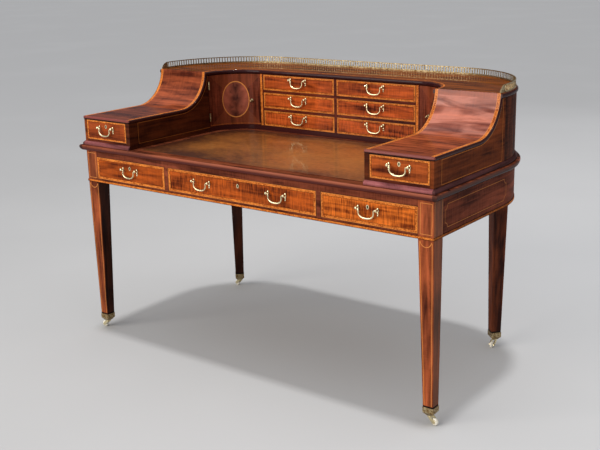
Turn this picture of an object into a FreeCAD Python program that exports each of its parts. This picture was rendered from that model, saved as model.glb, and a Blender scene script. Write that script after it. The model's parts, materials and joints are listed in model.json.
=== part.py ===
"""Writing desk with a horseshoe of small drawers, cupboards and swept wings round a leather top.

Millimetres, +Z up, the front faces -Y. The origin is on the floor under the middle of the desk.
"""
import FreeCAD
import Part
import Sketcher
import math
import os
import re

doc = FreeCAD.newDocument("writing_desk")

# Driving dimensions: name, size in millimetres or degrees, and what it measures.
SIZES = [
    ("width", 1504, "frieze, side to side"),
    ("depth", 804, "frieze, front to back"),
    ("corner_radius", 352, "rounded back corners of the frieze"),
    ("writing_height", 743, "floor to writing surface"),
    ("deck_height", 981, "floor to the top of the upper case"),
    ("top_thickness", 22, "table top"),
    ("overhang", 18, "table top beyond the frieze"),
    ("nosing_under", 16, "round under the table top's edge"),
    ("nosing_over", 3, "slope on the table top's upper edge"),
    ("leather_front", 30, "frieze front to leather"),
    ("leather_border", 25, "wood border round the other sides of the leather"),
    ("leather_thickness", 1.5, "leather let into the table top"),
    ("frieze_height", 119, "underside of the frieze to the table top"),
    ("top_rail", 21, "front rail over the drawers"),
    ("bottom_rail", 14, "front rail under the drawers"),
    ("rail_depth", 22, "front rails, front to back"),
    ("divider", 18, "upright between two frieze drawers"),
    ("frieze_wall", 20, "side and back frieze"),
    ("bead_height", 8, "banded bead round the foot of the frieze"),
    ("bead_proud", 2, "bead beyond the frieze"),
    ("runner_width", 46, "drawer runner"),
    ("guide_height", 40, "drawer guide on a runner"),
    ("centre_opening", 652, "width of the middle drawer's opening"),
    ("leg_width", 54, "square leg at the frieze"),
    ("foot_width", 35, "square leg at the foot"),
    ("foot_inset", 7, "front face of the front legs, top to foot"),
    ("back_leg_angle", 47.8, "place of a back leg on the rounded corner"),
    ("cap_top", 60, "floor to the top of the brass cap"),
    ("cap_lift", 6, "top of a caster's wheel to the underside of the brass cap"),
    ("cap_wall", 1.5, "brass cap"),
    ("cap_floor", 14, "cap under the leg's end"),
    ("cap_shoulder", 11, "height of the cap's sloping underside"),
    ("cap_nose", 21, "square underside of the cap"),
    ("pintle_radius", 4, "upright pin of a caster"),
    ("running_fit", 0.1, "radial clearance of a pin in its hole"),
    ("plate_radius", 9.5, "round plate over a caster's fork"),
    ("plate_thickness", 3.5, "round plate over a caster's fork"),
    ("wheel_radius", 12.5, "caster wheel"),
    ("wheel_width", 11, "caster wheel"),
    ("wheel_edge", 2.5, "slope at a wheel's rim"),
    ("trail", 17, "swivel axis to wheel axle"),
    ("axle_radius", 2, "wheel axle"),
    ("boss_wall", 3.4, "fork round the axle"),
    ("cheek", 3, "side of a caster's fork"),
    ("play", 0.6, "wheel to each side of its fork"),
    ("well_width", 1020, "writing space between the wings"),
    ("case_inset", 2, "upper case behind the face of the frieze"),
    ("wing_height", 109, "writing surface to the flat of a wing's lid"),
    ("lid_thickness", 12.6, "swept lid of a wing"),
    ("lid_overhang", 3, "swept lid beyond the wing"),
    ("sweep_radius", 140, "concave sweep of a wing's lid"),
    ("outer_wall", 13, "outer side of a wing"),
    ("inner_wall", 18, "inner side of a wing"),
    ("wing_floor", 23, "board under a wing's drawer"),
    ("partition", 10, "board behind a wing's drawer"),
    ("deck_thickness", 17, "top of the upper case"),
    ("deck_overhang", 5, "top beyond the outside of the case"),
    ("deck_lip", 4, "top beyond the drawer fronts"),
    ("deck_return", 12, "front of the top to the start of a door's arc"),
    ("deck_edge", 5, "softened edge of the top"),
    ("case_wall", 14, "curved back of the upper case"),
    ("bank_depth", 231, "back of the frieze to the small drawers' fronts"),
    ("arc_radius", 150, "concave face of a cupboard door"),
    ("jamb_angle", 3.4, "wing wall round the start of the door's arc"),
    ("stile_lap", 2, "drawer bank's end beyond the arc's middle"),
    ("plinth", 18, "base under the small drawers and doors"),
    ("bank_end", 15, "end of the drawer bank"),
    ("bank_divider", 10, "upright in the middle of the drawer bank"),
    ("shelf", 8.5, "board between two small drawers"),
    ("moulding_height", 15, "moulding round the foot of the upper case"),
    ("moulding_depth", 9, "moulding round the foot of the upper case"),
    ("moulding_slope", 7, "slope on the moulding's upper edge"),
    ("drawer_gap", 0.6, "gap beside and over a drawer"),
    ("slide_gap", 0.3, "gap under a drawer"),
    ("drawer_front", 18, "front of a frieze or wing drawer"),
    ("small_front", 13, "front of a small drawer"),
    ("drawer_side", 9, "side and back of a drawer"),
    ("drawer_bottom", 6, "bottom board of a drawer"),
    ("bottom_lift", 4, "bottom board above the sides' lower edges"),
    ("side_drop", 5, "sides below the front's upper edge"),
    ("frieze_drawer_depth", 440, "frieze drawer, front to back"),
    ("wing_drawer_space", 97, "wing drawer to the start of the rounded corner"),
    ("small_drawer_space", 15, "small drawer to the back of the case"),
    ("post_spacing", 72, "between the two posts of a handle"),
    ("post_reach", 10.5, "drawer front to the bail's axis"),
    ("stem_radius", 2.4, "stem of a handle post"),
    ("eye_radius", 4.6, "eye of a handle post"),
    ("eye_width", 7, "eye of a handle post"),
    ("bail_radius", 2, "rod of a bail"),
    ("bail_drop", 28, "bail's axis to the middle of its bow"),
    ("bail_bow", 24, "half the height of the bow's oval"),
    ("bail_half", 28, "half the width of the bow's oval"),
    ("bail_turn", 76, "part of the oval that each half of the bow follows"),
    ("husk_width", 9, "drop-shaped plate behind a post"),
    ("husk_above", 7, "plate above the bail's axis"),
    ("husk_below", 19, "plate below the bail's axis"),
    ("husk_thickness", 1.2, "plate behind a post"),
    ("frieze_handle_rise", 10.5, "middle of a frieze drawer to its handle's axis"),
    ("wing_handle_rise", 11.5, "middle of a wing drawer to its handle's axis"),
    ("small_handle_rise", 15, "middle of a small drawer to its handle's axis"),
    ("centre_handle_offset", 166, "middle of the desk to each handle of the middle drawer"),
    ("keyhole_rise", 5, "handle's axis to the keyhole"),
    ("scutcheon_height", 15, "oval keyhole plate"),
    ("scutcheon_width", 10, "oval keyhole plate"),
    ("scutcheon_thickness", 0.8, "oval keyhole plate"),
    ("lock_width", 54, "lock behind a drawer front"),
    ("lock_height", 32, "lock behind a drawer front"),
    ("lock_thickness", 9, "lock behind a drawer front"),
    ("door_thickness", 12, "cupboard door"),
    ("door_gap", 2.4, "hinge side of a door to its jamb"),
    ("door_clearance", 1, "top, bottom and closing edge of a door"),
    ("knob_angle", 16.5, "closing edge of the arc to the door's knob"),
    ("knob_drop", 5, "knob below the middle of a door"),
    ("knob_radius", 5, "head of a door's knob"),
    ("knob_reach", 14, "door to the end of its knob"),
    ("knob_stem", 2.2, "stem of a door's knob"),
    ("hinge_radius", 3, "knuckle of a door hinge"),
    ("hinge_setback", 3.5, "door's face to the hinge pin"),
    ("hinge_height", 32, "door hinge"),
    ("hinge_inset", 22, "end of a door to its hinge"),
    ("hinge_pin", 1.4, "hinge pin"),
    ("leaf", 0.8, "leaf of a door hinge"),
    ("leaf_width", 10, "leaf of a door hinge"),
    ("gallery_setback", 2, "gallery inside the outside of the case"),
    ("gallery_groove", 1.5, "groove in the deck in which the gallery stands"),
    ("groove_gap", 0.2, "gallery to each side of its groove"),
    ("gallery_height", 25, "pierced brass gallery"),
    ("gallery_strip", 1.6, "pierced strip of the gallery"),
    ("gallery_foot", 5, "foot rail of the gallery, high and wide"),
    ("gallery_rail", 3.2, "top rail of the gallery, high and wide"),
    ("gallery_sectors", 4, "lengths of gallery round a corner"),
    ("gallery_lengths", 3, "lengths of gallery along the back"),
    ("picket_pitch", 11, "between two bars of the gallery, about"),
    ("picket_width", 3.6, "bar of the gallery"),
    ("caster_front_left", 185, "direction of the front left caster"),
    ("caster_front_right", -8.5, "direction of the front right caster"),
    ("caster_back_left", 166, "direction of the back left caster"),
    ("caster_back_right", 270, "direction of the back right caster"),
]

sheet = doc.addObject("Spreadsheet::Sheet", "Sizes")
for row, (alias, size, meaning) in enumerate(SIZES, 1):
    sheet.set(f"A{row}", meaning)
    sheet.set(f"B{row}", str(size))
    sheet.setAlias(f"B{row}", alias)
doc.recompute()
ALIASES = {alias for alias, size, meaning in SIZES}

# Places worked out from the driving dimensions, as expressions.
FRONT = "(-depth / 2)"
HALF = "(width / 2)"
CORNER_X = "(width / 2 - corner_radius)"
CORNER_Y = "(depth / 2 - corner_radius)"
FRIEZE_TOP = "(writing_height - top_thickness)"
FRIEZE_BOTTOM = f"({FRIEZE_TOP} - frieze_height)"
OPENING_BOTTOM = f"({FRIEZE_BOTTOM} + bottom_rail)"
OPENING_TOP = f"({FRIEZE_TOP} - top_rail)"
DECK_BOTTOM = "(deck_height - deck_thickness)"
WELL = "(well_width / 2)"
CASE_HALF = "(width / 2 - case_inset)"
CASE_FRONT = FRONT
CASE_BACK = "(depth / 2 - case_inset)"
CASE_RADIUS = "(corner_radius - case_inset)"
LID_TOP = "(writing_height + wing_height)"
LID_BOTTOM = f"({LID_TOP} - lid_thickness)"
ARC_X = "(well_width / 2 - arc_radius)"
BANK_FRONT = "(depth / 2 - bank_depth)"
ARC_Y = f"({BANK_FRONT} - arc_radius)"
DECK_FRONT = f"({ARC_Y} - deck_return)"
SWEEP_Z = f"({LID_TOP} + sweep_radius)"
SWEEP_Y = f"({DECK_FRONT} + deck_lip - sqrt(sweep_radius^2 - ({SWEEP_Z} - {DECK_BOTTOM})^2))"
SWEEP_TOP = f"({SWEEP_Y} + sqrt(sweep_radius^2 - ({SWEEP_Z} - deck_height)^2))"
SWEEP_OUTER = "(sweep_radius + lid_thickness)"
WING_DRAWER = f"({CORNER_Y} - {FRONT} - wing_drawer_space)"
SMALL_DRAWER = "(bank_depth - case_inset - case_wall - small_drawer_space)"
BANK_HALF = f"({ARC_X} + stile_lap - bank_end)"
PLINTH_TOP = "(writing_height + plinth)"
ROW_HEIGHT = f"(({DECK_BOTTOM} - {PLINTH_TOP} - 2 * shelf) / 3)"
GALLERY_RADIUS = f"({CASE_RADIUS} - gallery_setback - gallery_foot / 2)"
GALLERY_BOTTOM = "(deck_height - gallery_groove)"
GALLERY_FRONT = f"({SWEEP_TOP} + gallery_groove + groove_gap)"
CAP_BOTTOM = "(2 * wheel_radius + cap_lift)"
SIDES = ((-1, "left"), (1, "right"))


def cells(text):
    """An expression with each driving dimension's name turned into its cell of the sheet."""
    return re.sub(r"[a-z_]+", lambda word: f"Sizes.{word[0]}" if word[0] in ALIASES else word[0], str(text))


def value(text):
    """The present value of an expression."""
    return float(sheet.evalExpression(cells(text)))


def bind(item, name, text):
    item.setExpression(name, cells(text))


def place(item, x="0", y="0", z="0", turn="0"):
    """Put an object at a point, turned about the vertical."""
    for letter, text in zip("xyz", (x, y, z)):
        bind(item, f"Placement.Base.{letter}", text)
    if turn != "0":
        item.Placement.Rotation = FreeCAD.Rotation(FreeCAD.Vector(0, 0, 1), 1)
        bind(item, "Placement.Rotation.Angle", turn)
    return item


def sided(side, low, high):
    """The stretch from low to high to the right of the middle, or its mirror image to the left."""
    return (low, high) if side > 0 else (f"-({high})", f"-({low})")


def board(name, x, y, z):
    """A rectangular board between two places along each axis."""
    item = doc.addObject("Part::Box", name)
    for side, (low, high) in zip(("Length", "Width", "Height"), (x, y, z)):
        bind(item, side, f"({high}) - ({low})")
    return place(item, x[0], y[0], z[0])


def rod(name, radius, height, angle="360"):
    item = doc.addObject("Part::Cylinder", name)
    bind(item, "Radius", radius)
    bind(item, "Height", height)
    bind(item, "Angle", angle)
    return item


def cut(name, base, tool):
    item = doc.addObject("Part::Cut", name)
    item.Base = base
    item.Tool = tool
    return item


def group(name, pieces):
    item = doc.addObject("Part::Compound", name)
    item.Links = pieces
    return item


def copy(name, original, x="0", y="0", z="0", turn="0"):
    """A copy of an object at another place."""
    item = doc.addObject("App::Link", name)
    item.LinkedObject = original
    return place(item, x, y, z, turn)


def sector(name, side, centre, radius, wall, angles, z):
    """A curved wall about a vertical line right of the middle, or its mirror image to the left."""
    start, end = angles if side > 0 else (f"180 - ({angles[1]})", f"180 - ({angles[0]})")
    x = centre[0] if side > 0 else f"-({centre[0]})"
    height = f"({z[1]}) - ({z[0]})"
    outer = place(rod(f"{name}_outer", radius, height, f"({end}) - ({start})"), x, centre[1], z[0], start)
    inner = place(rod(f"{name}_inner", f"({radius}) - ({wall})", height), x, centre[1], z[0])
    return cut(name, outer, inner)


def arc(start, end, radius):
    """The short arc between two points, turning left for a positive radius, and whether it turns left."""
    chord = end - start
    rise = math.sqrt(max(radius * radius - chord.Length ** 2 / 4, 0))
    left = FreeCAD.Vector(-chord.y, chord.x, 0).normalize()
    centre = (start + end) / 2 + left * math.copysign(rise, radius)
    turns_left = radius > 0
    first, last = (start, end) if turns_left else (end, start)
    angles = [math.atan2(p.y - centre.y, p.x - centre.x) for p in (first, last)]
    circle = Part.Circle(centre, FreeCAD.Vector(0, 0, 1), abs(radius))
    return Part.ArcOfCircle(circle, *angles), turns_left


def sketch(body, name, plane, points, offset="0", closed=True):
    """An outline on one of the body's own planes, with every corner bound to the sheet.

    A point is (u, v), or (u, v, radius) where the edge that ends there is an arc, a left turn if positive.
    """
    item = body.newObject("Sketcher::SketchObject", name)
    support = [feature for feature in body.Origin.OriginFeatures if feature.Role == plane]
    item.AttachmentSupport = [(support[0], "")]
    item.MapMode = "FlatFace"
    bind(item, "AttachmentOffset.Base.z", offset)
    corners = [FreeCAD.Vector(value(point[0]), value(point[1]), 0) for point in points]
    first = 0 if closed else 1
    ends = []
    for index in range(first, len(points)):
        point = points[index]
        start, end = corners[index - 1], corners[index]
        if len(point) == 3:
            shape, forward = arc(start, end, value(point[2]))
        else:
            shape, forward = Part.LineSegment(start, end), True
        edge = item.addGeometry(shape, False)
        ends.append((edge, 1 if forward else 2, 2 if forward else 1))
        if len(point) == 3:
            number = item.addConstraint(Sketcher.Constraint("Radius", edge, abs(value(point[2]))))
            bind(item, f"Constraints[{number}]", f"abs({point[2]})")
    for (edge, begin, finish), (following, start, end) in zip(ends, ends[1:]):
        item.addConstraint(Sketcher.Constraint("Coincident", edge, finish, following, start))
    if closed:
        item.addConstraint(Sketcher.Constraint("Coincident", ends[-1][0], ends[-1][2], ends[0][0], ends[0][1]))
    fixed = [(edge, finish) for edge, begin, finish in ends]
    if not closed:
        fixed.insert(0, ends[0][:2])
    for (edge, finish), point, corner in zip(fixed, points, corners):
        for kind, text, size in (("DistanceX", point[0], corner.x), ("DistanceY", point[1], corner.y)):
            number = item.addConstraint(Sketcher.Constraint(kind, -1, 1, edge, finish, size))
            bind(item, f"Constraints[{number}]", text)
    return item


def new_body(name):
    return doc.addObject("PartDesign::Body", name)


def pad(body, outline, length, side="One side", backwards=False):
    item = body.newObject("PartDesign::Pad", f"{outline.Name}_pad")
    item.Profile = outline
    item.SideType = side
    item.Reversed = backwards
    bind(item, "Length", length)
    return item


def pocket(body, outline, length, side="One side", backwards=False):
    item = body.newObject("PartDesign::Pocket", f"{outline.Name}_pocket")
    item.Profile = outline
    item.SideType = side
    item.Reversed = backwards
    bind(item, "Length", length)
    return item


def loft(body, outlines):
    item = body.newObject("PartDesign::AdditiveLoft", f"{outlines[0].Name}_loft")
    item.Profile = outlines[0]
    item.Sections = outlines[1:]
    item.Ruled = True
    return item


def soften_edges(body, feature, kind, size, chosen):
    """Round or chamfer those edges of a feature that a test on the edge picks out."""
    doc.recompute()
    names = [f"Edge{number}" for number, edge in enumerate(feature.Shape.Edges, 1) if chosen(edge)]
    item = body.newObject(f"PartDesign::{kind}", f"{feature.Name}_{kind}")
    item.Base = (feature, names)
    bind(item, "Radius" if kind == "Fillet" else "Size", size)
    return item


def at_height(z):
    """Test for edges that lie at one height."""
    level = value(z)
    return lambda edge: max(abs(edge.BoundBox.ZMin - level), abs(edge.BoundBox.ZMax - level)) < 1e-4


def rectangle(u, v):
    return [(u[0], v[0]), (u[1], v[0]), (u[1], v[1]), (u[0], v[1])]


def square(u, v, width):
    """A square outline about a middle point."""
    return rectangle((f"{u} - {width} / 2", f"{u} + {width} / 2"), (f"{v} - {width} / 2", f"{v} + {width} / 2"))


def polygon(radius, count, u="0", v="0"):
    """A regular outline with this many corners."""
    turns = [360 * index / count for index in range(count)]
    return [(f"{u} + {radius} * cos({turn})", f"{v} + {radius} * sin({turn})") for turn in turns]


def bore(radius, count, u="0", v="0"):
    """The outline of a hole with this many sides in which a pin of this radius turns."""
    return polygon(f"(({radius} + running_fit) / cos(180 / {count}))", count, u, v)


def rounded_plan(proud):
    """The desk's plan, this far outside the frieze: square in front, rounded corners behind."""
    x, back, radius = f"{HALF} + {proud}", f"depth / 2 + {proud}", f"corner_radius + {proud}"
    return [
        (f"-({x})", f"{FRONT} - ({proud})"),
        (x, f"{FRONT} - ({proud})"),
        (x, CORNER_Y),
        (CORNER_X, back, radius),
        (f"-{CORNER_X}", back),
        (f"-({x})", CORNER_Y, radius),
    ]


nodes = []


def node(name, pieces):
    """A finished sub-part: one object whose label names its file."""
    item = group(f"{name}_node", pieces)
    item.Label = name
    nodes.append(item)


def legs_and_caps():
    """Four tapered legs in brass caps. The back pair stands square to the rounded corners."""
    legs, caps = [], []
    cap_width = "(foot_width + 2 * cap_wall)"
    leg_end = f"({CAP_BOTTOM} + cap_floor)"
    for name, side, x, y, turn, foot in foot_places():
        leg = new_body(f"{name}_leg")
        if "front" in name:
            across, along = sided(-side, "0", "leg_width"), ("0", "leg_width")
            post, post_along = across, along
        else:
            across, along = ("corner_radius - leg_width", "corner_radius"), ("-leg_width / 2", "leg_width / 2")
            inside = "sqrt((corner_radius - frieze_wall)^2 - (leg_width / 2)^2) - slide_gap"
            post, post_along = ("corner_radius - leg_width", inside), along
        top = sketch(leg, f"{name}_leg_top", "XY_Plane", rectangle(across, along), FRIEZE_BOTTOM)
        end = sketch(leg, f"{name}_leg_end", "XY_Plane", square(*foot, "foot_width"), leg_end)
        loft(leg, [top, end])
        block = sketch(leg, f"{name}_post", "XY_Plane", rectangle(post, post_along), FRIEZE_BOTTOM)
        pad(leg, block, "frieze_height")
        legs.append(place(leg, x, y, "0", turn))
        cap = new_body(f"{name}_cap")
        shoulder = f"{CAP_BOTTOM} + cap_shoulder"
        sections = [("cap_top", cap_width), (shoulder, cap_width), (CAP_BOTTOM, "cap_nose")]
        outlines = [
            sketch(cap, f"{name}_cap_{index}", "XY_Plane", square(*foot, width), height)
            for index, (height, width) in enumerate(sections)
        ]
        loft(cap, outlines)
        hole = sketch(cap, f"{name}_cap_bore", "XY_Plane", bore("pintle_radius", 12, *foot))
        pocket(cap, hole, leg_end, backwards=True)
        caps.append(cut(f"{name}_cap_socket", place(cap, x, y, "0", turn), leg))
    node("legs", legs)
    node("caster_caps", caps)


def foot_places():
    """Each leg's name, side, reference point and turn, with its foot's middle in that frame."""
    places = []
    for side, hand in SIDES:
        foot = (f"{-side} * foot_width / 2", "(foot_inset + foot_width / 2)")
        places.append((f"front_{hand}", side, f"{side} * {HALF}", FRONT, "0", foot))
    for side, hand in SIDES:
        turn = "back_leg_angle" if side > 0 else "180 - back_leg_angle"
        foot = ("(corner_radius - leg_width / 2)", "0")
        places.append((f"back_{hand}", side, f"{side} * {CORNER_X}", CORNER_Y, turn, foot))
    return places


def caster_centre(name, side):
    """The point under a leg about which its caster swivels."""
    if "front" in name:
        return f"{side} * ({HALF} - foot_width / 2)", f"{FRONT} + foot_inset + foot_width / 2"
    reach = "(corner_radius - leg_width / 2)"
    x = f"{side} * ({CORNER_X} + {reach} * cos(back_leg_angle))"
    return x, f"{CORNER_Y} + {reach} * sin(back_leg_angle)"


def casters():
    """Swivelling brass forks with ceramic wheels."""
    fork_width = "(wheel_width + 2 * play + 2 * cheek)"
    plate_bottom = f"({CAP_BOTTOM} - slide_gap - plate_thickness)"
    pintle_length = "(plate_thickness + cap_floor)"
    fork = new_body("fork")
    plate = sketch(fork, "fork_plate", "XY_Plane", polygon("plate_radius", 12), plate_bottom)
    pad(fork, plate, "plate_thickness")
    pintle = sketch(fork, "fork_pintle", "XY_Plane", polygon("pintle_radius", 10), plate_bottom)
    pad(fork, pintle, pintle_length)
    boss = "(axle_radius + boss_wall)"
    horn = [
        ("-plate_radius * 0.75", plate_bottom),
        (f"trail - {boss} * 0.8", f"wheel_radius - {boss} * 0.6"),
        ("trail", f"wheel_radius - {boss}"),
        (f"trail + {boss} * 0.8", f"wheel_radius - {boss} * 0.6"),
        (f"trail + {boss}", "wheel_radius"),
        (f"trail + {boss} * 0.8", f"wheel_radius + {boss} * 0.4"),
        ("plate_radius * 0.9", plate_bottom),
    ]
    pad(fork, sketch(fork, "fork_horn", "XZ_Plane", horn), fork_width, "Symmetric")
    slot_half = "(wheel_width / 2 + play)"
    slot = rectangle(("-2 * plate_radius", "3 * trail"), (f"-{slot_half}", slot_half))
    pocket(fork, sketch(fork, "fork_slot", "XY_Plane", slot), plate_bottom, backwards=True)
    hole = sketch(fork, "fork_axle_hole", "XZ_Plane", polygon("axle_radius", 8, "trail", "wheel_radius"))
    pocket(fork, hole, f"2 * {fork_width}", "Symmetric")
    axle = new_body("axle")
    bar = sketch(axle, "axle_bar", "XZ_Plane", polygon("axle_radius", 8, "trail", "wheel_radius"))
    pad(axle, bar, fork_width, "Symmetric")
    wheel = new_body("wheel")
    face, tread = "(wheel_radius - wheel_edge)", "(wheel_width / 2 - wheel_edge)"
    sections = [
        (face, "-wheel_width / 2"),
        ("wheel_radius", f"-{tread}"),
        ("wheel_radius", tread),
        (face, "wheel_width / 2"),
    ]
    outlines = [
        sketch(wheel, f"wheel_{index}", "XZ_Plane", polygon(radius, 20), offset)
        for index, (radius, offset) in enumerate(sections)
    ]
    loft(wheel, outlines)
    hub = sketch(wheel, "wheel_bore", "XZ_Plane", bore("axle_radius", 10))
    pocket(wheel, hub, "2 * wheel_width", "Symmetric")
    for name, side, *rest in foot_places():
        x, y = caster_centre(name, side)
        turn = f"caster_{name}"
        pieces = [copy(f"{name}_{piece.Name}", piece, x, y, "0", turn) for piece in (fork, axle)]
        node(f"{name}_caster_fork", pieces)
        hub_x, hub_y = f"{x} + trail * cos({turn})", f"{y} + trail * sin({turn})"
        node(f"{name}_caster_wheel", [copy(f"{name}_wheel", wheel, hub_x, hub_y, "wheel_radius", turn)])


def frieze():
    """Front rails and dividers, side rails, rounded corners, back, and the bead round the foot of it all."""
    inside = f"({HALF} - leg_width)"
    across = (f"-{inside}", inside)
    proud = f"({HALF} + bead_proud)"
    middle = (f"-{CORNER_X}", CORNER_X)
    along = (f"{FRONT} + leg_width", CORNER_Y)
    front = (FRONT, f"{FRONT} + rail_depth")
    wall_z = (FRIEZE_BOTTOM, FRIEZE_TOP)
    bead_z = (FRIEZE_BOTTOM, f"{FRIEZE_BOTTOM} + bead_height")
    opening = "(centre_opening / 2)"
    pieces = [
        board("bottom_rail", across, front, (FRIEZE_BOTTOM, OPENING_BOTTOM)),
        board("top_rail", across, front, (OPENING_TOP, FRIEZE_TOP)),
        board("frieze_back", middle, ("depth / 2 - frieze_wall", "depth / 2"), wall_z),
        board("front_bead", (f"-{proud}", proud), (f"{FRONT} - bead_proud", FRONT), bead_z),
        board("back_bead", middle, ("depth / 2", "depth / 2 + bead_proud"), bead_z),
    ]
    for side, hand in SIDES:
        upright = sided(side, opening, f"{opening} + divider")
        pieces.append(board(f"{hand}_divider", upright, front, (OPENING_BOTTOM, OPENING_TOP)))
        rail = sided(side, f"{HALF} - frieze_wall", HALF)
        pieces.append(board(f"{hand}_side_rail", rail, along, wall_z))
        bead = sided(side, HALF, proud)
        pieces.append(board(f"{hand}_bead", bead, (FRONT, CORNER_Y), bead_z))
        centre, turn = (CORNER_X, CORNER_Y), ("0", "90")
        pieces.append(sector(f"{hand}_corner", side, centre, "corner_radius", "frieze_wall", turn, wall_z))
        outside = "corner_radius + bead_proud"
        pieces.append(sector(f"{hand}_corner_bead", side, centre, outside, "bead_proud", turn, bead_z))
    node("frieze", pieces)


def runners():
    """Runners and guides under the frieze drawers, and the boards round the wing drawers."""
    pieces = []
    opening = "(centre_opening / 2)"
    runner_z = (FRIEZE_BOTTOM, OPENING_BOTTOM)
    guide_z = (OPENING_BOTTOM, f"{OPENING_BOTTOM} + guide_height")
    behind_rail = f"{FRONT} + rail_depth"
    for side, hand in SIDES:
        along = (behind_rail, "depth / 2 - frieze_wall")
        middle = f"({opening} + divider / 2)"
        inner = sided(side, f"{middle} - runner_width / 2", f"{middle} + runner_width / 2")
        pieces.append(board(f"{hand}_inner_runner", inner, along, runner_z))
        guide = sided(side, opening, f"{opening} + divider")
        pieces.append(board(f"{hand}_inner_guide", guide, along, guide_z))
        along = (f"{FRONT} + leg_width", CORNER_Y)
        outer = sided(side, f"{HALF} - leg_width - runner_width / 2", f"{HALF} - frieze_wall")
        pieces.append(board(f"{hand}_outer_runner", outer, along, runner_z))
        guide = sided(side, f"{HALF} - leg_width", f"{HALF} - frieze_wall")
        pieces.append(board(f"{hand}_outer_guide", guide, along, guide_z))
        wing = sided(side, f"{WELL} + inner_wall", f"{CASE_HALF} - outer_wall")
        behind = f"({FRONT} + {WING_DRAWER} + 2 * partition)"
        floor_z = ("writing_height", "writing_height + wing_floor")
        pieces.append(board(f"{hand}_wing_floor", wing, (FRONT, f"{behind} + partition"), floor_z))
        under_lid = f"{SWEEP_Z} - sqrt({SWEEP_OUTER}^2 - ({behind} - {SWEEP_Y})^2)"
        back_z = (floor_z[1], under_lid)
        pieces.append(board(f"{hand}_wing_back", wing, (behind, f"{behind} + partition"), back_z))
    node("drawer_runners", pieces)


def leather_plan():
    """The leather's outline: straight in front, following the doors' curves behind."""
    x, y = f"{WELL} - leather_border", f"{FRONT} + leather_front"
    radius, back = "arc_radius - leather_border", f"{BANK_FRONT} - leather_border"
    return [
        (f"-({x})", y),
        (x, y),
        (x, ARC_Y),
        (ARC_X, back, radius),
        (f"-{ARC_X}", back),
        (f"-({x})", ARC_Y, radius),
    ]


def table_top():
    """Table top with a rounded nosing all round and the leather let in flush."""
    body = new_body("top_slab")
    outline = sketch(body, "top_plan", "XY_Plane", rounded_plan("overhang"), FRIEZE_TOP)
    slab = pad(body, outline, "top_thickness")
    rounded = soften_edges(body, slab, "Fillet", "nosing_under", at_height(FRIEZE_TOP))
    soften_edges(body, rounded, "Chamfer", "nosing_over", at_height("writing_height"))
    recess = sketch(body, "leather_recess", "XY_Plane", leather_plan(), "writing_height")
    pocket(body, recess, "leather_thickness")
    node("table_top", [body])
    leather = new_body("leather")
    underside = "writing_height - leather_thickness"
    pad(leather, sketch(leather, "leather_plan", "XY_Plane", leather_plan(), underside), "leather_thickness")
    node("leather_top", [leather])


def base_moulding():
    """Sloping moulding round the outside of the upper case, where it stands on the table top."""
    body = new_body("moulding_ring")
    out_x, out_back = f"({CASE_HALF} + moulding_depth)", f"({CASE_BACK} + moulding_depth)"
    out_front, out_radius = f"({CASE_FRONT} - moulding_depth)", f"({CASE_RADIUS} + moulding_depth)"
    plan = [
        (WELL, out_front),
        (out_x, out_front),
        (out_x, CORNER_Y),
        (CORNER_X, out_back, out_radius),
        (f"-{CORNER_X}", out_back),
        (f"-{out_x}", CORNER_Y, out_radius),
        (f"-{out_x}", out_front),
        (f"-{WELL}", out_front),
        (f"-{WELL}", CASE_FRONT),
        (f"-{CASE_HALF}", CASE_FRONT),
        (f"-{CASE_HALF}", CORNER_Y),
        (f"-{CORNER_X}", CASE_BACK, f"-{CASE_RADIUS}"),
        (CORNER_X, CASE_BACK),
        (CASE_HALF, CORNER_Y, f"-{CASE_RADIUS}"),
        (CASE_HALF, CASE_FRONT),
        (WELL, CASE_FRONT),
    ]
    ring = pad(body, sketch(body, "moulding_plan", "XY_Plane", plan, "writing_height"), "moulding_height")
    level = at_height("writing_height + moulding_height")
    outer = value(CASE_HALF) + 0.1

    def outside(edge):
        box = edge.BoundBox
        wide = max(abs(box.XMin), abs(box.XMax)) > outer
        return level(edge) and (wide or box.YMax < value(CASE_FRONT) - 0.1 or box.YMin > value(CASE_BACK) + 0.1)

    soften_edges(body, ring, "Chamfer", "moulding_slope", outside)
    node("base_moulding", [body])


def wings():
    """Wing walls with a swept upper edge, and the lids that follow it up to the deck."""
    walls, lids = [], []
    under_deck = f"({SWEEP_Y} + sqrt({SWEEP_OUTER}^2 - ({SWEEP_Z} - {DECK_BOTTOM})^2))"
    over_deck = f"({DECK_FRONT} + deck_lip)"
    jamb = f"({ARC_Y} + arc_radius * sin(jamb_angle))"
    lid_front = f"({FRONT} - lid_overhang)"
    lid_profile = [
        (lid_front, LID_BOTTOM),
        (SWEEP_Y, LID_BOTTOM),
        (under_deck, DECK_BOTTOM, SWEEP_OUTER),
        (over_deck, DECK_BOTTOM),
        (SWEEP_Y, LID_TOP, "-sweep_radius"),
        (lid_front, LID_TOP),
    ]
    for side, hand in SIDES:
        inner = sided(side, WELL, f"{WELL} + inner_wall")
        outer = sided(side, f"{CASE_HALF} - outer_wall", CASE_HALF)
        for name, (low, high), back in (("inner", inner, jamb), ("outer", outer, CORNER_Y)):
            body = new_body(f"{hand}_{name}_wing_wall")
            profile = [
                (FRONT, "writing_height"),
                (back, "writing_height"),
                (back, DECK_BOTTOM),
                (under_deck, DECK_BOTTOM),
                (SWEEP_Y, LID_BOTTOM, f"-{SWEEP_OUTER}"),
                (FRONT, LID_BOTTOM),
            ]
            outline = sketch(body, f"{hand}_{name}_wing_profile", "YZ_Plane", profile, low)
            pad(body, outline, f"({high}) - ({low})")
            walls.append(body)
        low, high = sided(side, f"{WELL} - lid_overhang / 2", f"{CASE_HALF} + lid_overhang")
        lid = new_body(f"{hand}_lid")
        pad(lid, sketch(lid, f"{hand}_lid_profile", "YZ_Plane", lid_profile, low), f"({high}) - ({low})")
        lids.append(lid)
    node("wing_walls", walls)
    node("wing_lids", lids)


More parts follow.
